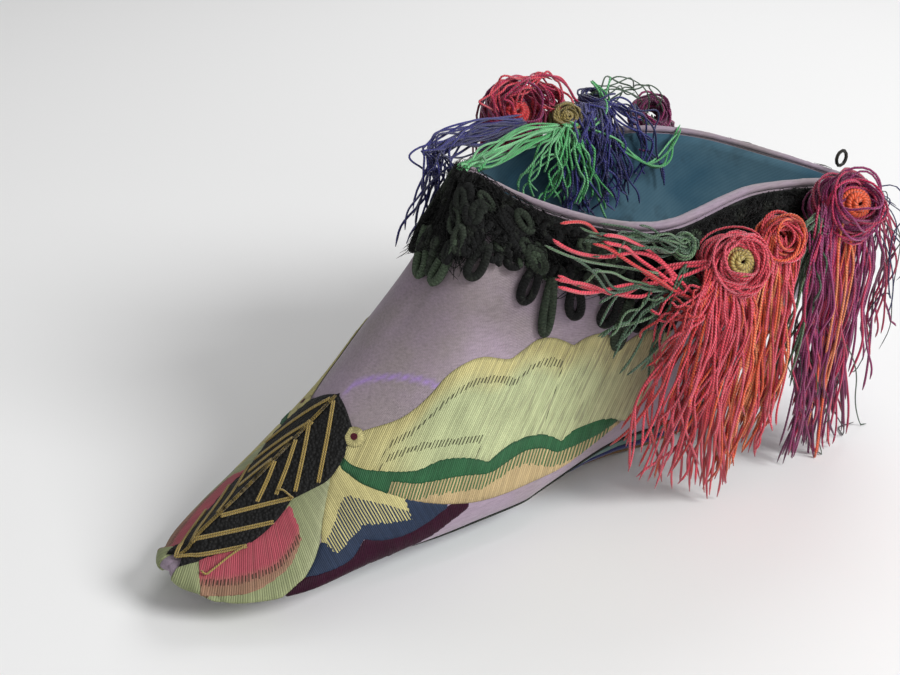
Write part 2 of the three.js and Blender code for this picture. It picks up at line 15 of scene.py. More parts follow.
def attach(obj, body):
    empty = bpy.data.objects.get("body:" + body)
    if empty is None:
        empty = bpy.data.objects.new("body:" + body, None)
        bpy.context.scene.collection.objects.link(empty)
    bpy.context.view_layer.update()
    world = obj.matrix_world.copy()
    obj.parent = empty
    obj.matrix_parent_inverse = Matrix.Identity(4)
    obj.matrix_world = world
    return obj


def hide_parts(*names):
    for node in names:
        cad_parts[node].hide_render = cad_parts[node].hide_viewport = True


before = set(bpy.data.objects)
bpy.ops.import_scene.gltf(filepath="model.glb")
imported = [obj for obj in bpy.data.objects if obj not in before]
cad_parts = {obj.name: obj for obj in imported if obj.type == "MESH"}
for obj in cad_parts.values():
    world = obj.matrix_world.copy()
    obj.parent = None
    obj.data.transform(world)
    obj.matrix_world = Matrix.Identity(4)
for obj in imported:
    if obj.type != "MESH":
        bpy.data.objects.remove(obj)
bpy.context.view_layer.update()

MM = 0.001
TINY = 1e-12
SEED = 7

# Main sizes of the shoe, as in the frame
SHOE_LENGTH = 165.0
UPPER_HEIGHT = 57.7
COLLAR_WIDTH = 50.0
BALL_WIDTH = 31.6
VAMP_SWELL = 15.0
UPPER_WALL = 1.5
SOLE_TOP = 5.1
ARCH_RISE = 2.4
TOE_SPRING = 0.8
HEEL_FLAT_END = 0.36 * SHOE_LENGTH
BALL_FLAT_START = 0.63 * SHOE_LENGTH
BALL_FLAT_END = 0.80 * SHOE_LENGTH
SOLE_FRONT_X = 0.933 * SHOE_LENGTH
HEEL_REST_X = 0.285 * SHOE_LENGTH

# Half sections from the back seam to the toe, as shares of the sizes above: foot, its
# handle, top, its handle, and the way the curve leans out in degrees
SECTIONS = np.array([
    # footX footY  footOut footUp topX   topY   topZ   topOut topDown faces
    [0.206, 0.000, 0.20, 0.070, -0.012, 0.000, 0.620, 0.00, 0.26, 90],
    [0.241, 0.425, 0.21, 0.070, 0.048, 0.376, 0.690, 0.00, 0.26, 54],
    [0.294, 0.620, 0.26, 0.070, 0.156, 0.876, 0.790, 0.00, 0.26, 16],
    [0.419, 0.751, 0.34, 0.070, 0.334, 0.936, 0.872, 0.00, 0.26, 2],
    [0.522, 0.904, 0.46, 0.070, 0.492, 0.992, 0.856, 0.00, 0.26, -5],
    [0.597, 0.958, 0.59, 0.055, 0.574, 0.520, 0.900, 0.13, 0.26, -10],
    [0.630, 1.000, 0.70, 0.060, 0.625, 0.000, 1.000, 0.82, 0.19, -13],
    [0.687, 0.991, 0.73, 0.075, 0.678, 0.000, 0.690, 1.06, 0.026, -14],
    [0.747, 0.958, 0.70, 0.060, 0.751, 0.000, 0.499, 0.97, 0.045, -13],
    [0.818, 0.822, 0.78, 0.025, 0.834, 0.000, 0.341, 0.97, 0.107, -14],
    [0.885, 0.512, 1.10, -0.010, 0.908, 0.000, 0.211, 0.98, 0.175, -15],
    [0.933, 0.000, 1.03, -0.020, 0.961, 0.000, 0.125, 0.82, 0.160, -25],
    [0.974, 0.000, 0.80, -0.020, 0.978, 0.000, 0.080, 0.36, 0.00, -28],
    [1.000, 0.000, 0.00, 0.000, 1.000, 0.000, 0.060, 0.00, 0.00, -40],
])
FOOT_X, FOOT_Y, FOOT_OUT, FOOT_UP, TOP_X, TOP_Y, TOP_Z, TOP_OUT, TOP_DOWN, FACES = range(10)
PEAK_ROW = 6
SOLE_FRONT_ROW = 11
TOE_ROW = len(SECTIONS) - 1
NO_BREAK = -9


def mirrored_row(row):
    copy = row.copy()
    copy[[FOOT_Y, TOP_Y]] *= -1
    copy[FACES] = 180 - row[FACES]
    return copy


def row_past_toe():
    row = 2 * SECTIONS[TOE_ROW] - SECTIONS[TOE_ROW - 1]
    row[[FOOT_X, TOP_X]] = SECTIONS[TOE_ROW - 1][[FOOT_X, TOP_X]]
    return row


ALL_ROWS = np.vstack([mirrored_row(SECTIONS[1]), SECTIONS, row_past_toe()])


def between(a, b, c, d, t):
    """The smooth curve from b to c at shares t, with a and d its neighbours."""
    return 0.5 * (2 * b + (c - a) * t + (2 * a - 5 * b + 4 * c - d) * t ** 2
                  + (3 * b - a - 3 * c + d) * t ** 3)


def unit(vectors):
    return vectors / np.maximum(np.linalg.norm(vectors, axis=-1, keepdims=True), TINY)


def column(station, index, break_row=NO_BREAK, mirror=False):
    """One column between two rows, smooth but for a corner at its break row."""
    values = ALL_ROWS[:, index]
    row = np.clip(np.floor(station).astype(int), 0, TOE_ROW - 1)
    t = station - row
    a, b, c, d = values[row], values[row + 1], values[row + 2], values[row + 3]
    if mirror:
        d_end = -b if index == FOOT_Y else b
    else:
        d_end = 2 * c - b
    d = np.where(row + 1 == break_row, d_end, d)
    a = np.where(row == break_row, 2 * b - c, a)
    return between(a, b, c, d, t)


def sole_lift(x):
    """Rise of the sole's underside off the floor, x from the back of the collar."""
    spring = TOE_SPRING * np.clip((x - BALL_FLAT_END) / (SOLE_FRONT_X - BALL_FLAT_END), 0, 1) ** 2
    share = np.clip((x - HEEL_FLAT_END) / (BALL_FLAT_START - HEEL_FLAT_END), 0, 1)
    return spring + ARCH_RISE * np.sin(np.pi * share) ** 2


def foot_points(station):
    x = SHOE_LENGTH * column(station, FOOT_X, SOLE_FRONT_ROW, True)
    y = BALL_WIDTH / 2 * np.maximum(0, column(station, FOOT_Y, SOLE_FRONT_ROW, True))
    past = station >= SOLE_FRONT_ROW
    rise = np.maximum(0, station - (TOE_ROW - 1))
    toe_z = SOLE_TOP + TOE_SPRING + (UPPER_HEIGHT * SECTIONS[TOE_ROW, TOP_Z] - TOE_SPRING) * rise ** 2
    z = np.where(past, toe_z, SOLE_TOP + sole_lift(x))
    return np.stack([x, np.where(past, 0, y), z], -1)


def top_points(station):
    x = SHOE_LENGTH * column(station, TOP_X, PEAK_ROW)
    y = COLLAR_WIDTH / 2 * column(station, TOP_Y, PEAK_ROW)
    z = SOLE_TOP + UPPER_HEIGHT * column(station, TOP_Z, PEAK_ROW)
    return np.stack([x, np.where(station >= PEAK_ROW, 0, y), z], -1)


def outside(station, level):
    """Points on the outside of the left half: level 0 at the sole, 1 at collar or ridge."""
    foot, top = foot_points(station), top_points(station)
    angle = np.radians(column(station, FACES))
    out = np.stack([-np.sin(angle), np.cos(angle), np.zeros_like(angle)], -1)
    up = np.array([0, 0, UPPER_HEIGHT])
    lower = foot + out * (VAMP_SWELL * column(station, FOOT_OUT))[..., None]
    lower = lower + up * column(station, FOOT_UP)[..., None]
    upper = top + out * (VAMP_SWELL * column(station, TOP_OUT, PEAK_ROW))[..., None]
    upper = upper - up * column(station, TOP_DOWN, PEAK_ROW)[..., None]
    v = level[..., None]
    points = ((1 - v) ** 3 * foot + 3 * (1 - v) ** 2 * v * lower
              + 3 * (1 - v) * v ** 2 * upper + v ** 3 * top)
    return points - np.array([HEEL_REST_X, 0, 0])


NUDGE = 1e-3
MITRE_LIMIT = 1.4


def facing(station, level):
    """Unit normals of the left half, lying in the shoe's middle plane where it meets it."""
    s = np.clip(station, NUDGE, TOE_ROW - NUDGE)
    v = np.clip(level, NUDGE, 1 - NUDGE)
    along = outside(s + NUDGE, v) - outside(s - NUDGE, v)
    up = outside(s, v + NUDGE) - outside(s, v - NUDGE)
    normal = unit(np.cross(up, along))
    normal[station >= TOE_ROW] = (1, 0, 0)
    middle = ((station <= 0) | (station >= TOE_ROW) | ((level >= 1) & (station >= PEAK_ROW))
              | ((level <= 0) & (station >= SOLE_FRONT_ROW)))
    flat = np.hypot(normal[..., 0], normal[..., 2])
    flat = np.maximum(flat, 1e-9)
    mitre = np.minimum(MITRE_LIMIT, 1 / flat) / flat
    square = normal * np.array([1, 0, 1]) * mitre[..., None]
    return np.where(middle[..., None], square, normal)


# Soft hollows and swellings of the worn satin: station, level, height in millimetres,
# and how far each reaches in stations and levels
CREASES = [
    (6.7, 0.55, -0.35, 0.9, 0.10),
    (7.4, 0.72, 0.30, 0.7, 0.12),
    (5.6, 0.45, 0.35, 0.5, 0.25),
    (4.6, 0.35, -0.30, 0.5, 0.25),
    (3.2, 0.50, 0.30, 0.6, 0.30),
    (2.3, 0.40, -0.30, 0.4, 0.30),
    (1.2, 0.55, 0.25, 0.4, 0.30),
    (8.8, 0.45, 0.20, 0.7, 0.20),
]


def relief(station, level):
    height = np.zeros_like(station)
    for s, v, tall, wide, high in CREASES:
        height += tall * np.exp(-((station - s) / wide) ** 2 - ((level - v) / high) ** 2)
    return height


def skin(station, level, distance=0.0):
    """Points of the left half, a distance off its worn outside."""
    away = distance + relief(station, level)
    return outside(station, level) + facing(station, level) * np.asarray(away)[..., None]


# Camera, at the photo's angle to the shoe
CAMERA_AZIMUTH = 52.275   # degrees from +X towards +Y
CAMERA_ELEVATION = 25.09
CAMERA_DISTANCE = 269.35
CAMERA_AIM = np.array([90.31 - HEEL_REST_X, -21.84, 20.0])
PHOTO_WIDTH, PHOTO_HEIGHT = 900, 675
FOCAL_PIXELS = 1334.7
SENSOR = 36.0


def camera_axes(azimuth, elevation):
    flat = math.cos(elevation)
    back = np.array([math.cos(azimuth) * flat, math.sin(azimuth) * flat, math.sin(elevation)])
    return back, np.array([-math.sin(azimuth), math.cos(azimuth), 0.0])


BACK, RIGHT = camera_axes(math.radians(CAMERA_AZIMUTH), math.radians(CAMERA_ELEVATION))
UP = np.cross(BACK, RIGHT)
EYE_POINT = CAMERA_AIM + BACK * CAMERA_DISTANCE


def put(name, data):
    """A new object in the scene."""
    obj = bpy.data.objects.new(name, data)
    bpy.context.scene.collection.objects.link(obj)
    return obj


def make_camera():
    data = bpy.data.cameras.new("camera")
    data.sensor_width = SENSOR
    data.lens = FOCAL_PIXELS / PHOTO_WIDTH * SENSOR
    data.clip_start, data.clip_end = 0.01, 10
    camera = put("camera", data)
    axes = Matrix(np.stack([RIGHT, UP, BACK], 1).tolist())
    camera.matrix_world = Matrix.Translation(Vector(EYE_POINT * MM)) @ axes.to_4x4()
    bpy.context.scene.camera = camera


def to_photo(points):
    """Photo pixels of points of the shoe."""
    d = np.asarray(points) - EYE_POINT
    depth = -(d @ BACK)
    x = PHOTO_WIDTH / 2 + FOCAL_PIXELS * (d @ RIGHT) / depth
    y = PHOTO_HEIGHT / 2 - FOCAL_PIXELS * (d @ UP) / depth
    return np.stack([x, y], -1)


def photo_ray(pixel):
    x = (pixel[0] - PHOTO_WIDTH / 2) / FOCAL_PIXELS
    y = (pixel[1] - PHOTO_HEIGHT / 2) / FOCAL_PIXELS
    return -BACK + x * RIGHT - y * UP


def on_side_plane(pixel, y):
    """The point seen at a pixel that lies in the upright plane at y."""
    ray = photo_ray(pixel)
    return EYE_POINT + ray * (y - EYE_POINT[1]) / ray[1]


# Photo pixels on the shoe's left side, turned into stations and levels

PROBE_STEPS = 12
PROBE_LEVELS = 60


def probe_surface():
    stations = np.linspace(0, TOE_ROW, TOE_ROW * PROBE_STEPS + 1)
    levels = np.linspace(0, 1, PROBE_LEVELS + 1)
    s, v = np.meshgrid(stations, levels, indexing="ij")
    points = skin(s, v)
    wide = len(levels)
    faces = []
    for i in range(len(stations) - 1):
        for j in range(len(levels) - 1):
            a = i * wide + j
            faces.append((a, a + 1, a + wide + 1))
            faces.append((a, a + wide + 1, a + wide))
    flat = points.reshape(-1, 3)
    return BVHTree.FromPolygons([Vector(p) for p in flat], faces), flat, faces, s.ravel(), v.ravel()


PROBE_TREE, PROBE_POINTS, PROBE_FACES, PROBE_S, PROBE_V = probe_surface()


def place_of(pixel):
    """(station, level) seen at a photo pixel. Off the shoe it is the nearest place."""
    ray = Vector(photo_ray(pixel)).normalized()
    hit, _, face, _ = PROBE_TREE.ray_cast(Vector(EYE_POINT), ray)
    if hit is None:
        best = np.argmin(np.linalg.norm(to_photo(PROBE_POINTS) - np.array(pixel), axis=1))
        return float(PROBE_S[best]), float(PROBE_V[best])
    corners = list(PROBE_FACES[face])
    a, b, c = PROBE_POINTS[corners]
    p = np.array(hit)
    whole = np.linalg.norm(np.cross(b - a, c - a))
    wa = np.linalg.norm(np.cross(b - p, c - p)) / whole
    wb = np.linalg.norm(np.cross(c - p, a - p)) / whole
    weights = np.array([wa, wb, 1 - wa - wb])
    return float(weights @ PROBE_S[corners]), float(weights @ PROBE_V[corners])


# Making meshes

def new_mesh(name, points, faces, materials, face_material=None):
    """A mesh object from millimetre points, riding on the shoe."""
    mesh = bpy.data.meshes.new(name)
    mesh.from_pydata((np.asarray(points) * MM).tolist(), [], [list(f) for f in faces])
    for material in materials:
        mesh.materials.append(material)
    if face_material is not None:
        mesh.polygons.foreach_set("material_index", np.asarray(face_material, dtype=np.int32))
    mesh.polygons.foreach_set("use_smooth", np.ones(len(mesh.polygons), dtype=bool))
    mesh.update()
    obj = put(name, mesh)
    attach(obj, "root")
    return obj


def put_uv(obj, values):
    mesh = obj.data
    layer = mesh.uv_layers.new(name="UVMap")
    loops = np.zeros(len(mesh.loops), dtype=np.int32)
    mesh.loops.foreach_get("vertex_index", loops)
    layer.data.foreach_set("uv", np.asarray(values, dtype=np.float32)[loops].ravel())


def put_colour(obj, name, values):
    values = np.asarray(values, dtype=np.float32)
    values = np.hstack([values, np.ones((len(values), 1), np.float32)])
    layer = obj.data.attributes.new(name, "FLOAT_COLOR", "POINT")
    layer.data.foreach_set("color", values.ravel())


def put_number(obj, name, values):
    layer = obj.data.attributes.new(name, "FLOAT", "POINT")
    layer.data.foreach_set("value", np.asarray(values, dtype=np.float32))


def linear(*rgb):
    """A colour as it looks on screen (0 to 255), as the light values shaders use."""
    c = np.array(rgb, float) / 255
    return np.where(c <= 0.04045, c / 12.92, ((c + 0.055) / 1.055) ** 2.4)


# Materials

class Shader:
    """A material with a Principled surface, and short calls for its nodes."""

    def __init__(self, name):
        self.material = bpy.data.materials.new(name)
        self.material.use_nodes = True
        self.nodes = self.material.node_tree.nodes
        self.links = self.material.node_tree.links
        self.surface = self.nodes["Principled BSDF"]

    def feed(self, socket, value):
        if isinstance(value, bpy.types.NodeSocket):
            self.links.new(value, socket)
        elif hasattr(value, "__len__") and len(value) == 3 and socket.type == "RGBA":
            socket.default_value = (*value, 1.0)
        else:
            socket.default_value = value

    def set(self, **values):
        for key, value in values.items():
            self.feed(self.surface.inputs[key.replace("_", " ")], value)

    def node(self, kind, output=0, settings=None, **inputs):
        node = self.nodes.new(kind)
        for key, value in (settings or {}).items():
            setattr(node, key, value)
        for key, value in inputs.items():
            self.feed(node.inputs[key.replace("_", " ")], value)
        return node.outputs[output]

    def math(self, operation, *values):
        node = self.nodes.new("ShaderNodeMath")
        node.operation = operation
        for socket, value in zip(node.inputs, values):
            self.feed(socket, value)
        return node.outputs[0]

    def times(self, a, b):
        return self.math("MULTIPLY", a, b)

    def plus(self, a, b):
        return self.math("ADD", a, b)

    def minus(self, a, b):
        return self.math("SUBTRACT", a, b)

    def sine(self, a):
        return self.math("SINE", a)

    def ridge(self, a):
        """0 to 1 and back over each half turn."""
        return self.math("ABSOLUTE", self.sine(a))

    def random(self, number):
        return self.node("ShaderNodeTexWhiteNoise", settings={"noise_dimensions": "1D"}, W=number)

    def attribute(self, name, output="Fac"):
        return self.node("ShaderNodeAttribute", output, {"attribute_name": name})

    def uv(self):
        return self.node("ShaderNodeUVMap", settings={"uv_map": "UVMap"})

    def uv_parts(self):
        split = self.nodes.new("ShaderNodeSeparateXYZ")
        self.links.new(self.uv(), split.inputs[0])
        return split.outputs[0], split.outputs[1]

    def place(self):
        """Position on the object, in metres."""
        return self.node("ShaderNodeTexCoord", "Object")

    def stretch(self, vector, scale):
        return self.node("ShaderNodeMapping", Vector=vector, Scale=scale)

    def noise(self, vector, scale, detail=3.0, roughness=0.55):
        return self.node("ShaderNodeTexNoise", Vector=vector, Scale=scale, Detail=detail,
                         Roughness=roughness)

    def spread(self, value, low, high, to_low=0.0, to_high=1.0):
        return self.node("ShaderNodeMapRange", Value=value, From_Min=low, From_Max=high,
                         To_Min=to_low, To_Max=to_high)

    def blend(self, share, a, b, mode="MIX"):
        node = self.nodes.new("ShaderNodeMix")
        node.data_type = "RGBA"
        node.blend_type = mode
        for number, value in ((0, share), (6, a), (7, b)):
            self.feed(node.inputs[number], value)
        return node.outputs[2]

    def grey(self, shade):
        return self.node("ShaderNodeCombineColor", Red=shade, Green=shade, Blue=shade)

    def shaded(self, colour, shade):
        return self.blend(1.0, colour, self.grey(shade), "MULTIPLY")

    def bump(self, height, distance, strength):
        return self.node("ShaderNodeBump", Strength=strength, Distance=distance * MM, Height=height)


LILAC = linear(150, 133, 149)
LILAC_WORN = linear(141, 129, 133)
LILAC_BRIGHT = linear(160, 125, 205)
LINING_BLUE = linear(42, 76, 94)
LINING_STAIN = linear(38, 56, 66)
LINING_FADED = linear(70, 100, 114)


WEAVE_PITCH = 0.30
RIB_PITCH = 0.62
CLOTH_THREAD = 0.45


def thread_weave(m, across, up):
    """0 to 1 over the threads of a satin weave, long one way and short the other: their relief, also
    painted on as shade.
    """
    row = m.times(up, 1 / WEAVE_PITCH)
    number = m.math("FLOOR", row)
    shift = m.random(number)
    float_at = m.math("FRACT", m.plus(m.times(across, 0.28 / WEAVE_PITCH),
                                      m.times(shift, 5.0)))
    ridge = m.sine(m.times(m.math("FRACT", row), math.pi))
    dip = m.times(m.math("LESS_THAN", float_at, 0.22), 0.6)
    return m.minus(ridge, dip)


def satin_shader():
    m = Shader("lilac satin")
    place = m.place()
    cloudy = m.noise(place, 60, 4)
    slubs = m.noise(m.stretch(place, (0.35, 1, 2.4)), 1500, 3, 0.6)
    fine = m.noise(m.stretch(place, (1, 1, 3)), 2600, 2, 0.7)
    worn = m.blend(m.spread(cloudy, 0.42, 0.66), LILAC, LILAC_WORN)
    tint = m.blend(m.attribute("streak"), worn, LILAC_BRIGHT)
    across, up = m.uv_parts()
    weave = thread_weave(m, across, up)
    # Slubs vary the tone at random; the weave is painted darker between its rows and where threads dip
    # under: painted shade.
    slub_tone_and_weave_shade = m.times(m.spread(slubs, 0.3, 0.7, 0.84, 1.12), m.spread(weave, 0, 1, 0.92, 1.04))
    tint = m.shaded(tint, slub_tone_and_weave_shade)
    m.set(Base_Color=tint, Roughness=0.55, Sheen_Weight=0.12, Sheen_Roughness=0.5)
    m.set(Specular_IOR_Level=0.3, Anisotropic=0.4)
    height = m.plus(m.times(slubs, 0.5), m.times(fine, 0.3))
    height = m.plus(height, m.times(weave, 0.25))
    m.set(Normal=m.bump(height, 0.09, 0.7))
    return m.material


def twill_shader():
    m = Shader("blue twill lining")
    across, up = m.uv_parts()
    diagonal = m.plus(across, m.times(up, 0.8))
    rib = m.sine(m.times(diagonal, 2 * math.pi / RIB_PITCH))
    cloudy = m.noise(m.place(), 55, 5)
    specks = m.noise(m.place(), 2200, 2, 0.7)
    blots = m.noise(m.place(), 120, 3, 0.6)
    base = m.blend(m.spread(cloudy, 0.4, 0.7), LINING_BLUE, LINING_FADED)
    base = m.blend(m.spread(blots, 0.56, 0.74, 0, 0.7), base, LINING_STAIN)
    # The ribs painted darker and lighter: painted shade along the twill; the specks are random tone.
    shade = m.spread(m.plus(rib, m.times(specks, 1.2)), -1, 2, 0.90, 1.08)
    tint = m.shaded(base, shade)
    m.set(Base_Color=tint, Roughness=0.9, Sheen_Weight=0.2, Specular_IOR_Level=0.2)
    m.set(Normal=m.bump(m.plus(rib, specks), 0.02, 0.35))
    return m.material


def cloth_shader(name, colour, faded):
    """Plain woven cloth, for the sole's covers."""
    m = Shader(name)
    place = m.place()
    cloudy = m.noise(place, 150, 4)
    weave = m.noise(place, 1 / (CLOTH_THREAD * MM), 2, 0.7)
    base = m.blend(m.spread(cloudy, 0.4, 0.68), colour, faded)
    shade = m.spread(weave, 0.25, 0.75, 0.72, 1.18)
    tint = m.shaded(base, shade)
    m.set(Base_Color=tint, Roughness=0.75, Sheen_Weight=0.25, Specular_IOR_Level=0.25)
    m.set(Normal=m.bump(weave, 0.12, 0.7))
    return m.material


def leather_shader():
    m = Shader("brown sole leather")
    place = m.place()
    fibres = m.noise(m.stretch(place, (1, 1, 6)), 500, 4, 0.6)
    stains = m.noise(place, 90, 4)
    base = m.blend(m.spread(stains, 0.35, 0.7), linear(96, 66, 26), linear(60, 40, 16))
    tint = m.blend(m.spread(fibres, 0.35, 0.7, 0, 0.5), base, linear(128, 96, 52))
    m.set(Base_Color=tint, Roughness=m.spread(fibres, 0.3, 0.7, 0.55, 0.8))
    m.set(Normal=m.bump(fibres, 0.15, 0.5))
    return m.material


THREAD_PITCH = 0.38
COMB_PITCH = 0.60
# Colour in the slits: painted shade in the gaps between threads.
SLIT_SHADOW = linear(40, 36, 26)
GROUND_SHOWS = linear(104, 98, 84)


def stitch_shader(name):
    """Satin stitch. UV is across and along the threads, in millimetres. tint and second are
    the colours, comb how far a place lies past the line where teeth of the second colour
    start, in teeth, row_a and row_b how far past the start of a row of slits, in slits, and
    gap how open the threads lie."""
    m = Shader(name)
    across, _ = m.uv_parts()
    wobble = m.noise(m.stretch(m.uv(), (0.25, 0.08, 1)), 1.0, 2)
    bent = m.plus(across, m.times(m.minus(wobble, 0.5), 0.5))
    turn = m.math("DIVIDE", bent, THREAD_PITCH)
    ridge = m.ridge(m.times(turn, math.pi))
    number = m.math("FLOOR", turn)
    each = m.random(number)
    tooth_turn = m.math("DIVIDE", bent, COMB_PITCH)
    tooth = m.math("FRACT", tooth_turn)
    tooth_length = m.random(m.math("FLOOR", tooth_turn))
    comb = m.attribute("comb")
    in_tooth = m.math("LESS_THAN", tooth, 0.5)
    ragged = m.times(tooth_length, 0.16)
    start = m.math("GREATER_THAN", comb, m.times(ragged, 0.25))
    end = m.math("LESS_THAN", comb, m.minus(1.08, ragged))
    teeth = m.times(in_tooth, m.times(start, end))
    in_slit = m.math("LESS_THAN", tooth, m.plus(0.26, m.times(tooth_length, 0.2)))
    slit_on = m.times(in_slit, m.math("MAXIMUM", in_row(m, "row_a", tooth_length),
                                                in_row(m, "row_b", tooth_length)))
    gap = m.attribute("gap")
    streaks = m.noise(m.stretch(m.uv(), (2.2, 0.12, 1)), 1.0, 3, 0.6)
    open_line = m.times(m.spread(streaks, 0.50, 0.62), gap)
    tint = m.attribute("tint", "Color")
    second = m.attribute("second", "Color")
    colour = m.blend(teeth, tint, second)
    vary = m.spread(each, 0, 1, 0.86, 1.10)
    cloudy = m.spread(m.noise(m.place(), 180, 3), 0.3, 0.7, 0.88, 1.08)
    # Each thread painted darker towards its sides: painted shade in the grooves between threads.
    edge = m.spread(ridge, 0.0, 0.6, 0.62, 1.0)
    shade = m.times(m.times(vary, cloudy), edge)
    # Darker near each patch's rim: painted shade where the patches meet and step down.
    shade = m.times(shade, m.spread(m.attribute("rim"), 0.0, 0.30, 0.55, 1.0))
    colour = m.shaded(colour, shade)
    # The slits painted dark: painted shade in the gaps.
    colour = m.blend(m.times(slit_on, 0.88), colour, SLIT_SHADOW)
    colour = m.blend(m.times(open_line, 0.5), colour, GROUND_SHOWS)
    m.set(Base_Color=colour, Roughness=0.6, Specular_IOR_Level=0.18, Anisotropic=0.3)
    dips = m.minus(m.minus(ridge, m.times(slit_on, 1.5)),
                  m.times(open_line, 0.8))
    m.set(Normal=m.bump(dips, 0.09, 0.8))
    return m.material


def in_row(m, name, jitter):
    """1 inside a row of slits, whose ends are a little out of line."""
    row = m.attribute(name)
    ragged = m.times(jitter, 0.3)
    return m.times(m.math("GREATER_THAN", row, ragged),
                  m.math("LESS_THAN", row, m.minus(1.15, ragged)))


def knot_shader():
    m = Shader("black knotted silk")
    place = m.place()
    knots = m.node("ShaderNodeTexVoronoi", output=0, Vector=place, Scale=1900.0)
    fine = m.noise(place, 2500, 2, 0.7)
    # Knot tops painted lighter grey and the gaps between them darker: painted highlight and shade.
    grey = m.spread(m.plus(knots, m.times(fine, 0.4)), 0.2, 1.1, 0.014, 0.002)
    m.set(Base_Color=m.grey(grey))
    m.set(Roughness=0.68, Specular_IOR_Level=0.2, Sheen_Weight=0.0)
    m.set(Normal=m.bump(m.minus(1.0, knots), 0.30, 1.0))
    return m.material


def cord_shader(name, pitch, dark, sheen=0.3):
    """Twisted cord. UV is round and along it, in turns and millimetres, and tint its colour. The
    twist's ridges are painted lighter and its grooves darker, down to dark: painted highlight and
    shade.
    """
    m = Shader(name)
    around, along = m.uv_parts()
    angle = m.plus(m.times(around, 2 * math.pi),
                   m.times(along, math.pi / pitch))
    ridge = m.ridge(angle)
    vary = m.noise(m.place(), 700, 3)
    # Lighter on the twist's ridges and darker in its grooves: painted highlight and shade; vary is
    # random tone.
    shade = m.times(m.spread(ridge, 0.0, 0.7, dark, 1.08), m.spread(vary, 0.3, 0.7, 0.85, 1.1))
    tint = m.shaded(m.attribute("tint", "Color"), shade)
    m.set(Base_Color=tint, Roughness=0.42, Sheen_Weight=sheen, Sheen_Roughness=0.4)
    m.set(Specular_IOR_Level=0.4, Normal=m.bump(ridge, 0.12, 0.9))
    return m.material


BRAID_GREY = linear(62, 68, 58)


def braid_shader():
    m = Shader("black braid cord")
    place = m.place()
    fuzz = m.noise(place, 1900, 4, 0.75)
    worn = m.noise(place, 300, 4, 0.65)
    around, along = m.uv_parts()
    run = m.times(along, math.pi / 0.55)
    turn = m.times(around, 2 * math.pi)
    one = m.ridge(m.plus(run, turn))
    two = m.ridge(m.minus(run, turn))
    plait = m.times(one, two)
    tint = m.attribute("tint", "Color")
    base = m.blend(m.spread(worn, 0.55, 0.72, 0, 0.6), tint, BRAID_GREY)
    # The plait's crossings painted lighter and its grooves darker: painted highlight and shade; the
    # fuzz varies the tone at random.
    shade = m.times(m.spread(fuzz, 0.3, 0.7, 0.5, 1.5), m.spread(plait, 0, 0.7, 0.78, 1.15))
    m.set(Base_Color=m.shaded(base, shade), Roughness=0.85, Sheen_Weight=0.04)
    m.set(Specular_IOR_Level=0.2)
    m.set(Normal=m.bump(m.plus(fuzz, m.times(plait, 0.45)), 0.30, 1.0))
    return m.material


def wire_shader():
    m = Shader("dark wire")
    worn = m.noise(m.place(), 900, 3)
    m.set(Base_Color=linear(40, 38, 34), Metallic=0.6, Roughness=m.spread(worn, 0.3, 0.7, 0.35, 0.6))
    m.set(Normal=m.bump(worn, 0.05, 0.4))
    return m.material


# The upper: satin outside, twill lining inside, one hollow piece

UPPER_STEPS = 14
OUTER_LEVELS = 64
INNER_LEVELS = 22
WALL_RUN = 45.0
# The lining comes nearer to the satin over the last stations, down to a share of the wall
LINING_TAPER = 2.5
LINING_NEAREST = 0.2
WELD_REACH = 0.004


class Builder:
    """Collects points and faces of one mesh."""

    def __init__(self):
        self.points = []
        self.faces = []
        self.kinds = []
        self.count = 0

    def add(self, points):
        points = np.asarray(points, float)
        flat = points.reshape(-1, 3)
        self.points.append(flat)
        start = self.count
        self.count += len(flat)
        return start + np.arange(len(flat)).reshape(points.shape[:-1])

    def grid(self, index, flip, kind):
        a, b = index[:-1, :-1].ravel(), index[:-1, 1:].ravel()
        c, d = index[1:, 1:].ravel(), index[1:, :-1].ravel()
        quads = np.stack([a, b, c, d], 1)
        if flip:
            quads = quads[:, ::-1]
        self.faces.append(quads)
        self.kinds.append(np.full(len(quads), kind))

    def strip(self, one, other, flip, kind):
        self.grid(np.stack([one, other], 1), flip, kind)

    def make(self, name, materials):
        points = np.vstack(self.points)
        obj = new_mesh(name, points, np.vstack(self.faces), materials, np.concatenate(self.kinds))
        return obj, points


def make_upper(satin, lining):
    stations = np.linspace(0, TOE_ROW, TOE_ROW * UPPER_STEPS + 1)
    build = Builder()
    numbers = []
    for side in (1, -1):
        s, v = np.meshgrid(stations, np.linspace(0, 1, OUTER_LEVELS + 1), indexing="ij")
        outer = skin(s, v)
        si, vi = np.meshgrid(stations, np.linspace(0, 1, INNER_LEVELS + 1), indexing="ij")
        inner = skin(si, vi, -UPPER_WALL * np.clip((TOE_ROW - si) / LINING_TAPER, LINING_NEAREST, 1))
        for sheet in (outer, inner):
            sheet[..., 1] *= side
        far = build.add(outer)
        near = build.add(inner)
        numbers += [(s.ravel(), v.ravel()), (si.ravel(), vi.ravel())]
        build.grid(far, side < 0, 0)
        build.grid(near, side > 0, 1)
        collar = PEAK_ROW * UPPER_STEPS + 1
        sole = SOLE_FRONT_ROW * UPPER_STEPS + 1
        build.strip(far[:collar, -1], near[:collar, -1], side < 0, 0)
        build.strip(near[:sole, 0], far[:sole, 0], side < 0, 0)
    obj, points = build.make("upper_satin", [satin, lining])
    s, v = (np.concatenate(part) for part in zip(*numbers))
    put_uv(obj, np.stack([s * SHOE_LENGTH / TOE_ROW, v * WALL_RUN], 1))
    put_number(obj, "streak", violet_streak(points))
    weld(obj)
    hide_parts("upper")


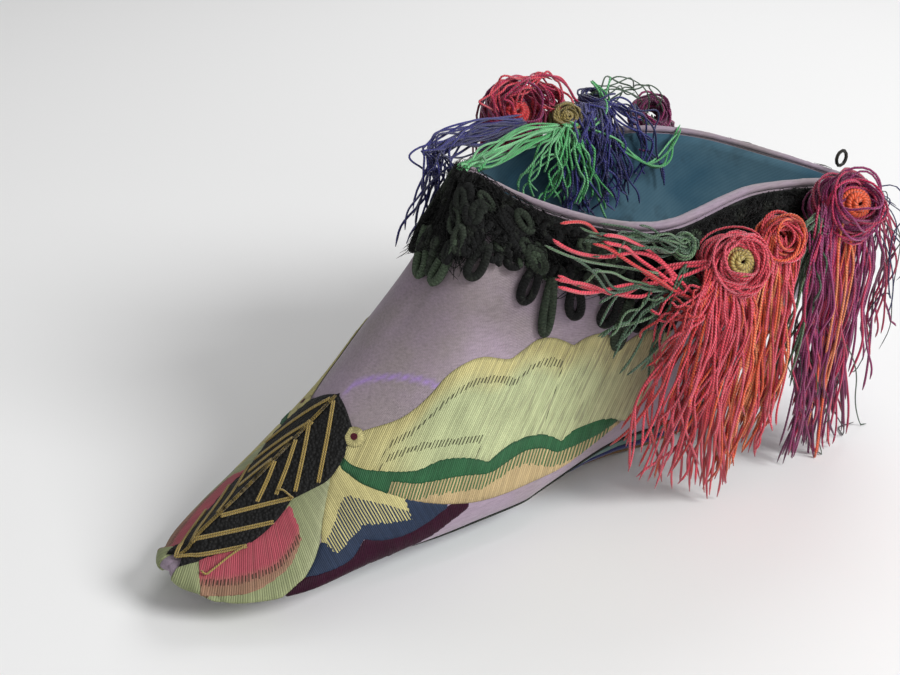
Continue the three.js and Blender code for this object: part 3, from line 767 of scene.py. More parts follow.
def weld(obj):
    """Joins the two halves and the sheets along their shared edges."""
    bm = bmesh.new()
    bm.from_mesh(obj.data)
    bmesh.ops.remove_doubles(bm, verts=bm.verts, dist=WELD_REACH * MM)
    bm.to_mesh(obj.data)
    bm.free()


# A brighter violet line where a fold has kept its dye, in photo pixels
STREAK_LINE = [(343, 393), (352, 385), (370, 379), (400, 377), (425, 381), (442, 388)]
STREAK_REACH = 2.2
STREAK_FULL = 0.75


def violet_streak(points):
    pixels = to_photo(points)
    line = smooth_line(STREAK_LINE, 60)
    near = np.min(np.linalg.norm(pixels[:, None, :] - line[None], axis=2), axis=1)
    amount = np.exp(-(near / STREAK_REACH) ** 2) * (points[:, 1] > 0)
    return STREAK_FULL * amount


def smooth_line(points, count):
    """A smooth curve through the points, evenly spaced, with count steps."""
    p = np.asarray(points, float)
    if len(p) == 2:
        return p[0] + np.linspace(0, 1, count + 1)[:, None] * (p[1] - p[0])
    ends = np.vstack([2 * p[0] - p[1], p, 2 * p[-1] - p[-2]])
    pieces = []
    for i in range(len(p) - 1):
        a, b, c, d = ends[i:i + 4]
        t = np.linspace(0, 1, 17)[:-1, None]
        pieces.append(between(a, b, c, d, t))
    curve = np.vstack(pieces + [p[-1:]])
    run = np.concatenate([[0], np.cumsum(np.linalg.norm(np.diff(curve, axis=0), axis=1))])
    want = np.linspace(0, run[-1], count + 1)
    return np.stack([np.interp(want, run, curve[:, k]) for k in range(p.shape[1])], 1)


# Embroidery. Every patch lies on the left side, and its mirror image on the right.
# Outlines are photo pixels. A point marked under(station, level) lies where the photo
# doesn't reach, under the toe or behind the trim.

PIXEL_PER_MM = 4.9


def under(station, level):
    return station, level


class Straight:
    """Threads that run one way in the photo."""

    def __init__(self, dx, dy):
        size = math.hypot(dx, dy)
        self.run = np.array([dx, dy]) / size
        self.cross = np.array([self.run[1], -self.run[0]])

    def frame(self, pixels):
        return (pixels @ self.cross) / PIXEL_PER_MM, (pixels @ self.run) / PIXEL_PER_MM


class Fan:
    """Threads that spread from a point in the photo."""

    def __init__(self, x, y, pitch_at):
        self.centre = np.array([x, y], float)
        self.pitch_at = pitch_at

    def frame(self, pixels):
        d = pixels - self.centre
        radius = np.hypot(d[:, 0], d[:, 1])
        angle = np.arctan2(d[:, 0], d[:, 1])
        return angle * self.pitch_at / PIXEL_PER_MM, radius / PIXEL_PER_MM


# About how many millimetres a station and a level are, where patches are filled
FLAT_STATION = 12.5
FLAT_LEVEL = 38.0
SAME_PLACE = 0.08
OUTLINE_STEP = 0.42
FILL_STEP = 0.52
FILL_CLEAR = 0.4
STITCH_RISE = 0.30
LAYER_RISE = 0.06
RIM_SINK = 0.08
RIM_REACH = 0.45


def outline_places(arcs):
    """(station, level) of every point round an outline made of smooth arcs."""
    places = []
    for arc in arcs:
        if isinstance(arc, tuple):
            places.append(arc)
            continue
        pixels = np.asarray(arc, float)
        length = np.sum(np.linalg.norm(np.diff(pixels, axis=0), axis=1)) / PIXEL_PER_MM
        count = max(2, int(length / OUTLINE_STEP))
        places += [place_of(pixel) for pixel in smooth_line(pixels, count)]
    kept = [places[0]]
    for place in places[1:]:
        if flat_gap(place, kept[-1]) > SAME_PLACE:
            kept.append(place)
    if flat_gap(kept[0], kept[-1]) < SAME_PLACE:
        kept.pop()
    return np.array(kept)


def flat_gap(one, other):
    return math.hypot((one[0] - other[0]) * FLAT_STATION, (one[1] - other[1]) * FLAT_LEVEL)


def fill_outline(places):
    """A triangle mesh inside an outline, in stations and levels, and its rim's size."""
    flat = places * np.array([FLAT_STATION, FLAT_LEVEL])
    low, high = flat.min(0), flat.max(0)
    xs = np.arange(low[0], high[0], FILL_STEP)
    ys = np.arange(low[1], high[1], FILL_STEP)
    gx, gy = np.meshgrid(xs, ys)
    gx[1::2] += FILL_STEP / 2
    inner = np.stack([gx.ravel(), gy.ravel()], 1)
    inner = inner[inside_polygon(inner, flat) & (distance_to_rim(inner, flat) > FILL_CLEAR)]
    points = np.vstack([flat, inner])
    n = len(flat)
    edges = [(i, (i + 1) % n) for i in range(n)]
    verts, _, faces, _, _, _ = delaunay_2d_cdt([Vector(p) for p in points], edges,
                                               [list(range(n))], 2, 1e-5)
    verts = np.array([tuple(v) for v in verts])
    rim = distance_to_rim(verts, flat)
    return verts / np.array([FLAT_STATION, FLAT_LEVEL]), faces, rim


def inside_polygon(points, ring):
    inside = np.zeros(len(points), bool)
    for (x1, y1), (x2, y2) in zip(ring, np.roll(ring, -1, axis=0)):
        crosses = (y1 > points[:, 1]) != (y2 > points[:, 1])
        with np.errstate(divide="ignore", invalid="ignore"):
            at = (x2 - x1) * (points[:, 1] - y1) / (y2 - y1) + x1
        inside ^= crosses & (points[:, 0] < at)
    return inside


def distance_to_rim(points, ring):
    best = np.full(len(points), 1e9)
    for a, b in zip(ring, np.roll(ring, -1, axis=0)):
        d = b - a
        size = max(float(d @ d), 1e-12)
        t = np.clip(((points - a) @ d) / size, 0, 1)
        best = np.minimum(best, np.linalg.norm(points - a - t[:, None] * d, axis=1))
    return best


def past_line(weave, pixels, line, steps):
    """How far along its thread each pixel lies past a line, and how far beside its ends."""
    across, along = weave.frame(pixels)
    line_across, line_along = weave.frame(smooth_line(line, steps))
    order = np.argsort(line_across)
    past = along - np.interp(across, line_across[order], line_along[order])
    beside = np.maximum(0, np.maximum(line_across.min() - across, across - line_across.max()))
    return past, beside


FAR_BEFORE = -9.0
LINE_STEPS = 80
BESIDE_COST = 8
NUMBERS = ("comb", "row_a", "row_b", "gap", "rim")


class Patches:
    """Collects patches of embroidery into one mesh."""

    def __init__(self):
        self.lists = {key: [] for key in ("points", "faces", "uv", "tint", "second", *NUMBERS)}
        self.count = 0

    def add(self, arcs, weave, colour, layer=0, second=None, comb=None, slits=(), gap=0.0):
        """colour and gap may be functions of pixels. layer is how many patches lie below.
        comb is (line, length of the teeth past it), and slits up to two (line, length)."""
        places, faces, rim = fill_outline(outline_places(arcs))
        station, level = places[:, 0].copy(), places[:, 1].copy()
        base = layer * LAYER_RISE - RIM_SINK
        left = skin(station, level, base + STITCH_RISE * np.sqrt(np.clip(rim / RIM_REACH, 0, 1)))
        pixels = to_photo(left)
        many = len(pixels)
        tint = colour(pixels) if callable(colour) else np.tile(colour, (many, 1))
        rows = [np.full(many, FAR_BEFORE) for _ in range(3)]
        for k, mark in enumerate([comb, *slits]):
            if mark is not None:
                past, beside = past_line(weave, pixels, mark[0], LINE_STEPS)
                rows[k] = (past - BESIDE_COST * beside) / mark[1]
        same = {"uv": np.stack(weave.frame(pixels), 1), "tint": tint, "rim": rim,
                "second": tint if second is None else np.tile(second, (many, 1)),
                "gap": gap(pixels) if callable(gap) else np.full(many, gap),
                "comb": rows[0], "row_a": rows[1], "row_b": rows[2]}
        fans = np.array([(f[0], f[k], f[k + 1]) for f in faces for k in range(1, len(f) - 1)])
        for side in (1, -1):
            mirror = np.array([1, side, 1])
            points = left * mirror
            tris = fans.copy()
            a, b, c = (points[tris[:, k]] for k in range(3))
            want = facing(station, level)[tris[:, 0]] * mirror
            turned = np.sum(np.cross(b - a, c - a) * want, axis=1) < 0
            tris[turned] = tris[turned][:, ::-1]
            for key, values in {"points": points, "faces": tris + self.count, **same}.items():
                self.lists[key].append(values)
            self.count += many

    def make(self, name, material, slot):
        whole = {key: np.concatenate(values) for key, values in self.lists.items()}
        obj = new_mesh(name, whole["points"], whole["faces"], [material])
        put_uv(obj, whole["uv"])
        for key in ("tint", "second"):
            put_colour(obj, key, whole[key])
        for key in NUMBERS:
            put_number(obj, key, whole[key])
        return obj


# Outlines, in photo pixels
EYE_CENTRE = (355, 438)
WING_TOP = [
    [(360, 432), (369, 429), (397, 420), (416, 408), (432, 393), (447, 376), (464, 364),
     (483, 357), (504, 359)],
    [(504, 359), (512, 358), (524, 349), (539, 339), (556, 338), (574, 345)],
    [(574, 345), (587, 337), (602, 333), (613, 337), (623, 344)],
    [(623, 344), (640, 333), (656, 329), (672, 330)],
]
WING_END = [(672, 330), (663, 352), (652, 380), (640, 404), (628, 421)]
GREEN_TOP = [
    [(344, 458), (352, 465), (365, 469), (388, 471), (416, 470), (439, 460), (459, 457),
     (474, 458), (488, 461)],
    [(488, 461), (503, 448), (518, 439), (535, 434), (550, 435), (560, 440)],
    [(560, 440), (573, 429), (592, 420), (608, 417), (619, 418)],
]
GREEN_COMB = [(612, 424), (597, 434), (583, 441), (570, 447), (556, 452), (541, 448), (522, 452),
              (503, 464), (489, 473), (474, 475), (455, 477), (436, 481), (416, 484), (391, 482)]
GREEN_END = [(391, 482), (387, 494)]
GREEN_FRONT = [(387, 494), (374, 489), (362, 484), (352, 477), (341, 468), (340, 456)]
PEACH_LOW = [(387, 494), (407, 500), (426, 503), (445, 504), (474, 502), (503, 494), (531, 482),
             (560, 468), (589, 447), (621, 421)]
CREAM_TOP = [(340, 462), (352, 474), (363, 482), (387, 491), (409, 498)]
CREAM_END = [(409, 498), (412, 512), (417, 523)]
CREAM_LOW_RIGHT = [(417, 523), (404, 523), (387, 526), (364, 528)]
CREAM_LOW_LEFT = [(364, 528), (347, 546), (335, 558)]
CREAM_TIP = [(335, 558), (328, 551), (321, 544)]
CREAM_LEFT = [(321, 544), (322, 525), (326, 497), (330, 478), (340, 462)]
CREAM_COMB_LEFT = [(325, 543), (335, 519), (344, 496)]
CREAM_COMB_RIGHT = [(344, 496), (362, 499), (385, 504), (411, 511)]
BLUE_LOW = [[(304, 579), (320, 575), (338, 568), (353, 558), (364, 540)],
            [(364, 540), (382, 541), (404, 536), (426, 524), (454, 504)]]
BLUE_TOP = [(454, 504), (430, 501), (407, 497)]
BLUE_UNDER = [(407, 497), (380, 505), (345, 515), (322, 540), (314, 560), (304, 579)]
WINE_TOP = [[(282, 598), (304, 577), (320, 573), (338, 566), (353, 556), (364, 538)],
            [(364, 538), (382, 539), (404, 534), (426, 522), (452, 503), (474, 503)]]
WINE_LOW = [(474, 503), (463, 513), (451, 522), (436, 533), (419, 542), (400, 550), (382, 558),
            (367, 564)]
PINK_LEAF = [[(291, 500), (278, 515), (265, 529), (248, 541), (225, 549), (199, 558)],
             [(199, 558), (198, 580), (201, 597)],
             [(201, 597), (228, 597), (252, 594), (276, 581), (294, 564), (304, 540)],
             [(304, 540), (299, 520), (291, 500)]]
PINK_SLITS = [(203, 578), (224, 578), (246, 574), (276, 562), (294, 539), (299, 527)]
SAGE_SLITS = [(203, 595), (228, 595), (252, 592), (276, 580), (294, 562), (303, 540)]
PANEL_RIGHT = [[(338, 393), (346, 408), (353, 429)],
               [(353, 429), (349, 446), (342, 462), (329, 480), (312, 490), (292, 500)],
               [(292, 500), (281, 517), (271, 529), (258, 539), (245, 547), (223, 553), (199, 562),
                (179, 568)]]
SAGE_TOP = [(170, 580), (174, 572), (184, 561), (199, 556), (223, 547), (243, 541), (256, 532),
            (268, 522), (278, 510), (290, 494), (310, 484), (334, 470)]
SAGE_RIGHT = [(334, 470), (329, 496), (323, 522), (320, 543), (314, 562), (304, 579), (282, 598)]

MINT = linear(176, 184, 140)
CREAM = linear(190, 181, 126)
SAGE = linear(145, 152, 112)
SAGE_PALE = linear(164, 168, 132)
PEACH = linear(182, 160, 119)
BAND_GREEN = linear(46, 92, 60)
TOOTH_GREEN = linear(74, 104, 66)
SLATE = linear(40, 52, 74)
WINE = linear(44, 3, 28)
PINK = linear(174, 80, 92)
PINK_BEIGE = linear(150, 116, 94)
EYE_RED = linear(104, 34, 50)


def mix(a, b, share):
    share = np.clip(share, 0, 1)[:, None]
    return np.asarray(a) * (1 - share) + np.asarray(b) * share


def wing_colour(pixels):
    """Cream along the top scallops and the eye, mint towards the middle, and paler towards the right
    end: painted light.
    """
    depth, _ = past_line(WING_WEAVE, pixels, np.vstack(WING_TOP), 120)
    near_eye = np.exp(-((pixels[:, 0] - 360) / 45) ** 2)
    minty = np.clip((depth - 2.5) / 6, 0, 1) * (1 - near_eye)
    # Paler towards the wing's right end: painted light.
    painted_light = np.clip((pixels[:, 0] - 560) / 80, 0, 1)
    return mix(mix(CREAM, MINT, minty), linear(196, 188, 150), 0.6 * painted_light)


def pink_colour(pixels):
    depth, _ = past_line(TOE_WEAVE, pixels, PINK_SLITS, 60)
    return mix(PINK, PINK_BEIGE, (depth + 0.6) / 2.6)


def sage_colour(pixels):
    return mix(SAGE, SAGE_PALE, (pixels[:, 0] - 290) / 40)


def wing_gap(pixels):
    return np.clip((pixels[:, 0] - 430) / 120, 0.15, 0.9)


WING_WEAVE = Straight(-0.42, 0.91)
BAND_WEAVE = Straight(-0.30, 0.95)
CREAM_WEAVE = Straight(0.50, 0.86)
WINE_WEAVE = Straight(0.20, 0.98)
TOE_WEAVE = Fan(245, 390, 160)


WING_SLITS_HIGH = [(392, 439), (416, 426), (434, 410), (455, 391), (478, 377), (503, 374),
                   (518, 377), (529, 366), (547, 357), (566, 359)]
WING_SLITS_LOW = [(388, 454), (403, 448), (426, 441), (470, 435), (485, 433)]


def make_embroidery(stitches):
    patches = Patches()
    toe_hidden = [under(10.2, 0.20), under(11.0, 0.12), under(12.0, 0.10), under(12.6, 0.2)]
    patches.add([SAGE_TOP, SAGE_RIGHT] + toe_hidden, TOE_WEAVE, sage_colour, gap=0.25, layer=1)
    patches.add(WINE_TOP + [WINE_LOW, under(9.2, 0.17), under(9.8, 0.15), under(10.2, 0.20)],
                WINE_WEAVE, WINE, layer=0)
    patches.add(BLUE_LOW + [BLUE_TOP, BLUE_UNDER], CREAM_WEAVE, SLATE, layer=1)
    patches.add([CREAM_TOP, CREAM_END, CREAM_LOW_RIGHT, CREAM_LOW_LEFT, CREAM_TIP, CREAM_LEFT],
                CREAM_WEAVE, CREAM, layer=2, second=SLATE,
                comb=(CREAM_COMB_LEFT + CREAM_COMB_RIGHT[1:], 9))
    patches.add([[(x, y - 3) for x, y in GREEN_COMB[::-1]], PEACH_LOW[::-1]],
                BAND_WEAVE, PEACH, layer=3, second=TOOTH_GREEN, gap=0.3,
                comb=([(x, y - 4) for x, y in GREEN_COMB], 4.2))
    patches.add(WING_TOP + [WING_END, [(628, 421), (619, 420)]]
                + [[(x, y + 3) for x, y in arc[::-1]] for arc in GREEN_TOP[::-1]]
                + [[(344, 461), (343, 452), (346, 444), (360, 432)]],
                WING_WEAVE, wing_colour, layer=3, gap=wing_gap,
                slits=[(WING_SLITS_HIGH, 2.0), (WING_SLITS_LOW, 2.0)])
    patches.add([[(340, 456), (344, 458)]] + GREEN_TOP + [[(619, 418), (612, 424)], GREEN_COMB,
                GREEN_END, GREEN_FRONT], BAND_WEAVE, BAND_GREEN, layer=5)
    patches.add(PINK_LEAF, TOE_WEAVE, pink_colour, layer=3, gap=0.3,
                slits=[(PINK_SLITS, 1.6), (SAGE_SLITS, 1.4)])
    patches.add([eye_ring(10.5, 25)], Fan(*EYE_CENTRE, 8), CREAM, layer=9)
    patches.add([eye_ring(3.6, 17)], Straight(1, 0.3), EYE_RED, layer=15)
    patches.make("embroidery", stitches, "satin")


def eye_ring(radius, count):
    return [(EYE_CENTRE[0] + radius * math.cos(a), EYE_CENTRE[1] + radius * math.sin(a))
            for a in np.linspace(0, 2 * math.pi, count)]


def make_panel(black):
    panel = Patches()
    ridge_side = [under(s, 1.0) for s in np.linspace(12.2, 8.6, 14)]
    panel.add(PANEL_RIGHT + ridge_side, Straight(0, 1), np.zeros(3), layer=6)
    obj = panel.make("toe_panel_silk", black, "black_silk")
    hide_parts("toe_panel")


# Tubes along curves, for every cord and thread

TUBE_TAPER = 0.35
ANY_WAY = np.array([0.31, 0.57, 0.76])


def curves(ways, steps):
    """Smooth curves through N sets of W points, as N by (steps + 1) points."""
    ways = np.asarray(ways, float)
    count = ways.shape[1]
    ends = np.concatenate([2 * ways[:, :1] - ways[:, 1:2], ways, 2 * ways[:, -1:] - ways[:, -2:-1]], 1)
    turn = np.linspace(0, count - 1, steps + 1)
    row = np.minimum(turn.astype(int), count - 2)
    t = (turn - row)[None, :, None]
    return between(*(ends[:, row + k] for k in range(4)), t)


def wander(rng, count, steps, size, waves=3):
    """Small smooth random detours, nothing at the start and full size at the end."""
    t = np.linspace(0, 1, steps + 1)[None, :, None]
    total = np.zeros((count, steps + 1, 3))
    for k in range(1, waves + 1):
        phase = rng.uniform(0, 2 * math.pi, (count, 1, 3))
        rate = rng.uniform(0.6, 1.4, (count, 1, 3)) * 2.2 * k
        total += rng.normal(0, 1, (count, 1, 3)) * np.sin(rate * math.pi * t + phase) / k
    return total * size * np.minimum(1, 2.5 * t) ** 1.2


class Cords:
    """Collects tubes along curves into one mesh."""

    def __init__(self, sides=5):
        self.sides = sides
        self.points, self.quads, self.caps = [], [], []
        self.quad_uv, self.cap_uv, self.tint = [], [], []
        self.count = 0

    def add(self, paths, radius, tint, closed=False):
        """paths: N by M points. radius: a number, or N by 1. tint: one colour, or one for
        each path."""
        paths = np.asarray(paths, float)
        many, steps, _ = paths.shape
        k = self.sides
        along = np.gradient(paths, axis=1)
        if closed:
            along = np.roll(paths, -1, 1) - np.roll(paths, 1, 1)
        along = unit(along)
        square = np.zeros_like(paths)
        square[:, 0] = unit(np.cross(along[:, 0], ANY_WAY))
        for i in range(1, steps):
            last, now = square[:, i - 1], along[:, i]
            square[:, i] = unit(last - now * np.sum(last * now, 1, keepdims=True))
        other = np.cross(along, square)
        size = np.broadcast_to(np.asarray(radius, float), (many, steps)).copy()
        if not closed:
            size[:, [0, -1]] *= TUBE_TAPER
        angle = np.arange(k) * 2 * math.pi / k
        ring = (np.cos(angle)[None, None, :, None] * square[:, :, None, :]
                + np.sin(angle)[None, None, :, None] * other[:, :, None, :])
        points = paths[:, :, None, :] + ring * size[:, :, None, None]
        index = self.count + np.arange(many * steps * k).reshape(many, steps, k)
        after = np.roll(index, -1, 2)
        run = np.zeros((many, steps))
        run[:, 1:] = np.cumsum(np.linalg.norm(np.diff(paths, axis=1), axis=2), axis=1)
        if closed:
            a, d = index, np.roll(index, -1, 1)
            b, c = after, np.roll(after, -1, 1)
            gap = np.linalg.norm(paths[:, 0] - paths[:, -1], axis=1)
            low, high = run, np.concatenate([run[:, 1:], (run[:, -1] + gap)[:, None]], 1)
        else:
            a, b, c, d = index[:, :-1], after[:, :-1], after[:, 1:], index[:, 1:]
            low, high = run[:, :-1], run[:, 1:]
            self.caps.append(index[:, 0, ::-1])
            self.caps.append(index[:, -1])
            self.cap_uv.append(np.zeros((2 * many * k, 2)))
        quads = np.stack([a, b, c, d], -1)
        here, low, high = np.broadcast_arrays(np.arange(k) / k, low[:, :, None], high[:, :, None])
        there = here + 1 / k
        uv = np.stack([np.stack(pair, -1) for pair in
                       ((here, low), (there, low), (there, high), (here, high))], 3)
        self.quads.append(quads.reshape(-1, 4))
        self.quad_uv.append(uv.reshape(-1, 2))
        self.points.append(points.reshape(-1, 3))
        tint = np.broadcast_to(np.atleast_2d(tint)[:, None, :], (many, steps, 3))
        self.tint.append(np.repeat(tint.reshape(-1, 3), k, axis=0))
        self.count += many * steps * k

    def make(self, name, material, slot, *nodes):
        quads = np.vstack(self.quads)
        caps = np.vstack(self.caps) if self.caps else np.zeros((0, self.sides), int)
        corners = np.concatenate([quads.ravel(), caps.ravel()])
        sizes = np.concatenate([np.full(len(quads), 4), np.full(len(caps), self.sides)])
        uv = np.vstack(self.quad_uv + self.cap_uv)
        obj = fast_mesh(name, np.vstack(self.points), corners, sizes, material)
        layer = obj.data.uv_layers.new(name="UVMap")
        layer.data.foreach_set("uv", uv.astype(np.float32).ravel())
        put_colour(obj, "tint", np.vstack(self.tint))
        for node in nodes:
            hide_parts(node)
        return obj


def fast_mesh(name, points, corners, sizes, material):
    mesh = bpy.data.meshes.new(name)
    mesh.vertices.add(len(points))
    mesh.vertices.foreach_set("co", (points * MM).astype(np.float32).ravel())
    mesh.loops.add(len(corners))
    mesh.loops.foreach_set("vertex_index", corners.astype(np.int32))
    mesh.polygons.add(len(sizes))
    starts = np.concatenate([[0], np.cumsum(sizes)[:-1]]).astype(np.int32)
    mesh.polygons.foreach_set("loop_start", starts)
    mesh.polygons.foreach_set("use_smooth", np.ones(len(sizes), dtype=bool))
    mesh.materials.append(material)
    mesh.update(calc_edges=True)
    obj = put(name, mesh)
    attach(obj, "root")
    return obj


FLOOR_CLEAR = 0.25
CLEAR_REACH = 8
OVER_EDGE = 0.6


def clear_of_shoe(paths, gap):
    """The same paths, moved out of the shoe's side and up onto the floor."""
    flat = paths.reshape(-1, 3).copy()
    for i, p in enumerate(flat):
        side = 1 if p[1] >= 0 else -1
        point = Vector((p[0], abs(p[1]), p[2]))
        near, normal, _, _ = PROBE_TREE.find_nearest(point, CLEAR_REACH)
        if near is None or p[2] > near.z + OVER_EDGE:
            continue
        if (point - near).dot(normal) < gap:
            moved = near + normal * gap
            flat[i] = (moved.x, side * moved.y, moved.z)
    flat[:, 2] = np.maximum(flat[:, 2], FLOOR_CLEAR)
    return flat.reshape(paths.shape)


# Places on the collar's trim, in millimetres along the collar and down from its edge

TRIM_END = 7.4
TRIM_ROWS = 150
TRIM_DEEP = 30.0
TRIM_STEPS = 60
TRIM_LEVELS = 120
# How far below the edge lengths along the trim are measured
LENGTH_DOWN = 5.0


def trim_table():
    stations = np.linspace(0.01, TRIM_END, TRIM_ROWS)
    levels = np.linspace(1, 0.05, TRIM_LEVELS)
    s, v = np.meshgrid(stations, levels, indexing="ij")
    points = outside(s, v)
    run = np.zeros(s.shape)
    run[:, 1:] = np.cumsum(np.linalg.norm(np.diff(points, axis=1), axis=2), axis=1)
    downs = np.linspace(0, TRIM_DEEP, TRIM_STEPS + 1)
    level_at = np.array([np.interp(downs, run[i], levels) for i in range(TRIM_ROWS)])
    at = [int(np.interp(LENGTH_DOWN, run[i], np.arange(TRIM_LEVELS))) for i in range(TRIM_ROWS)]
    line = points[np.arange(TRIM_ROWS), at]
    length = np.concatenate([[0], np.cumsum(np.linalg.norm(np.diff(line, axis=0), axis=1))])
    return stations, length, level_at


TRIM_STATIONS, TRIM_LENGTH, TRIM_LEVEL = trim_table()


def trim_along(station):
    return np.interp(station, TRIM_STATIONS, TRIM_LENGTH)


def trim_point(along, down, off, side=1):
    """Points on the trim, off the outside of the shoe."""
    along, down = np.broadcast_arrays(np.asarray(along, float), np.asarray(down, float))
    station = np.interp(along, TRIM_LENGTH, TRIM_STATIONS)
    row = np.clip((station - TRIM_STATIONS[0]) / (TRIM_STATIONS[1] - TRIM_STATIONS[0]), 0,
                  TRIM_ROWS - 1.001)
    step = np.clip(down / TRIM_DEEP * TRIM_STEPS, 0, TRIM_STEPS - 0.001)
    i, j = row.astype(int), step.astype(int)
    fi, fj = row - i, step - j
    level = ((1 - fi) * (1 - fj) * TRIM_LEVEL[i, j] + fi * (1 - fj) * TRIM_LEVEL[i + 1, j]
             + (1 - fi) * fj * TRIM_LEVEL[i, j + 1] + fi * fj * TRIM_LEVEL[i + 1, j + 1])
    off = np.broadcast_to(off, station.shape)
    points = outside(station, level) + facing(station, level) * off[..., None]
    points[..., 2] += np.maximum(0, -down)
    points[..., 1] *= side
    return points


# The black braid: a cord band along the collar, curled cords on it, and loops that hang

BRAID_DEPTH = 11.5
# The backing's front and back off the satin, how uneven they are, and how it frays below
BACKING_FRONT = 0.9
BACKING_BACK = 0.32
BACKING_BUMPS = 0.18
BACKING_FRAY = 0.8
BACKING_SHORT = 1.6
LOOP_CORD = 0.80
BRAID_BLACK = linear(17, 18, 18)
BRAID_WORN = linear(70, 84, 66)
LOOPS_SEEN = [
    # each loop in photo pixels: its top, its lowest place, its width, and how worn it is
    ((462, 243), (436, 284), 11, 0.9), ((487, 246), (471, 278), 16, 0.05),
    ((537, 262), (521, 301), 17, 0.0), ((551, 276), (542, 333), 11, 0.45),
    ((576, 280), (574, 315), 17, 0.0), ((618, 290), (602, 322), 15, 0.0),
    ((627, 296), (614, 345), 10, 0.4), ((643, 294), (634, 326), 14, 0.0),
    ((668, 298), (660, 326), 14, 0.0), ((428, 236), (420, 252), 7, 0.2),
    ((423, 232), (409, 262), 6, 0.35), ((446, 244), (433, 262), 8, 0.3),
]
CURLS_SEEN = [
    # places in the photo where a curl fills the band out to its lower edge
    (470, 244), (481, 250), (492, 256), (501, 260), (511, 262), (522, 262), (548, 272),
    (562, 276), (590, 284), (600, 288), (498, 246), (512, 250), (455, 250),
]
# Stations of the guessed loops behind, and their lowest place, width and height
LOOPS_BEHIND = [3.2, 2.78, 2.36, 1.94, 1.5, 1.05, 0.55]
LOOP_LOWEST, LOOP_WIDTH, LOOP_HEIGHT = BRAID_DEPTH + 6, 4.0, 7.4
CURLS = 120
BRAID_END = PEAK_ROW + 0.7
PLAIT_CORD = 0.55
PLAIT_PITCH = 3.1
# The two plaits: how far down they lie, how wide they swing, and how far off the satin
PLAITS = [(1.7, 0.6, 1.4), (BRAID_DEPTH - 2.2, 0.8, 1.5)]
FUZZ_HAIRS = 2000
HAIR = 0.085


def braid_depth(station):
    past = np.clip((station - PEAK_ROW) / 0.85, 0, 1)
    return BRAID_DEPTH * (1 - past ** 2)


def depth_share(along):
    return np.interp(along, TRIM_LENGTH, braid_depth(TRIM_STATIONS) / BRAID_DEPTH)


def worn_black(worn):
    return BRAID_BLACK * (1 - worn) + BRAID_WORN * worn


def make_braid(material):
    rng = np.random.default_rng(SEED)
    cords = Cords(6)
    full = float(trim_along(BRAID_END))
    for side in (1, -1):
        for row, (down, wide, off) in enumerate(PLAITS):
            t = np.linspace(0.6, full - 1.5 - 6 * row, 420)
            wild = wander(rng, 1, len(t) - 1, 0.3, 4)[0]
            for phase in (0, math.pi):
                wave = t * 2 * math.pi / PLAIT_PITCH + phase
                drop = (down + wide * np.sin(wave) + wild[:, 1]) * depth_share(t)
                path = trim_point(t, drop, off + 0.4 * np.cos(wave), side)
                cords.add(path[None], PLAIT_CORD, BRAID_BLACK)
        for _ in range(CURLS):
            add_curl(cords, rng, full, side)
        for top, lowest, wide, worn in LOOPS_SEEN:
            seen_loop(cords, top, lowest, wide, worn, side)
        for pixel in CURLS_SEEN:
            seen_curl(cords, rng, pixel, side)
        for station in LOOPS_BEHIND:
            hang_loop(cords, rng, float(trim_along(station)), side)
    cords.make("braid_cords", material, "black_braid", "collar_braid")
    make_backing(material)
    make_fuzz(material, rng)


def add_curl(cords, rng, full, side):
    """A short curl of cord, sewn down in the band."""
    along, down = rng.uniform(1.5, full - 1), rng.uniform(2.2, BRAID_DEPTH - 1.6)
    radius = rng.uniform(1.1, 2.1)
    start, turns = rng.uniform(0, 2 * math.pi), rng.uniform(0.7, 1.5) * rng.choice([-1, 1])
    t = np.linspace(0, 1, 26)
    angle = start + 2 * math.pi * turns * t
    size = radius * (1 - 0.35 * t)
    a = along + size * np.cos(angle) * rng.uniform(0.8, 1.3)
    d = (down + size * np.sin(angle)) * float(depth_share(along))
    off = rng.uniform(1.1, 1.9) + 0.3 * np.sin(math.pi * t)
    path = trim_point(np.clip(a, 0.3, full + 1), np.clip(d, 0.6, 14), off, side)
    worn = rng.choice([0.0, 0.0, 0.1, 0.3, 0.7])
    cords.add(path[None], rng.uniform(0.5, 0.82), worn_black(worn))


def on_shoe(pixels, off, side):
    """Points a distance off the satin, at photo pixels."""
    places = np.array([place_of(pixel) for pixel in pixels])
    points = skin(places[:, 0], np.minimum(places[:, 1], 0.998), off)
    return points * np.array([1, side, 1])


def seen_loop(cords, top, lowest, wide, worn, side):
    """A pear-shaped loop of cord, at its place in the photo."""
    angle = np.linspace(-0.5 * math.pi, 1.5 * math.pi, 41)
    share = 0.5 + 0.5 * np.sin(angle)
    run = np.array(lowest) - np.array(top)
    across = np.array([run[1], -run[0]]) / np.linalg.norm(run)
    spread = wide / 2 * np.cos(angle) * (0.35 + 0.65 * share)
    pixels = np.array(top) + run * share[:, None] + across * spread[:, None]
    path = on_shoe(pixels, 0.95 + 0.9 * (1 - share) + 0.25 * np.cos(angle) * (1 - share), side)
    cords.add(path[None], LOOP_CORD, worn_black(worn))


def seen_curl(cords, rng, pixel, side):
    angle = rng.uniform(0, 2 * math.pi) + np.linspace(0, 1.8 * math.pi, 22)
    size = rng.uniform(5, 8) * (1 - 0.3 * np.linspace(0, 1, 22))
    pixels = np.array(pixel) + np.stack([size * np.cos(angle), 0.8 * size * np.sin(angle)], 1)
    path = on_shoe(pixels, rng.uniform(0.9, 1.4) + 0.3 * np.sin(angle), side)
    worn = rng.choice([0.0, 0.0, 0.3, 0.6])
    cords.add(path[None], rng.uniform(0.5, 0.75), worn_black(worn))


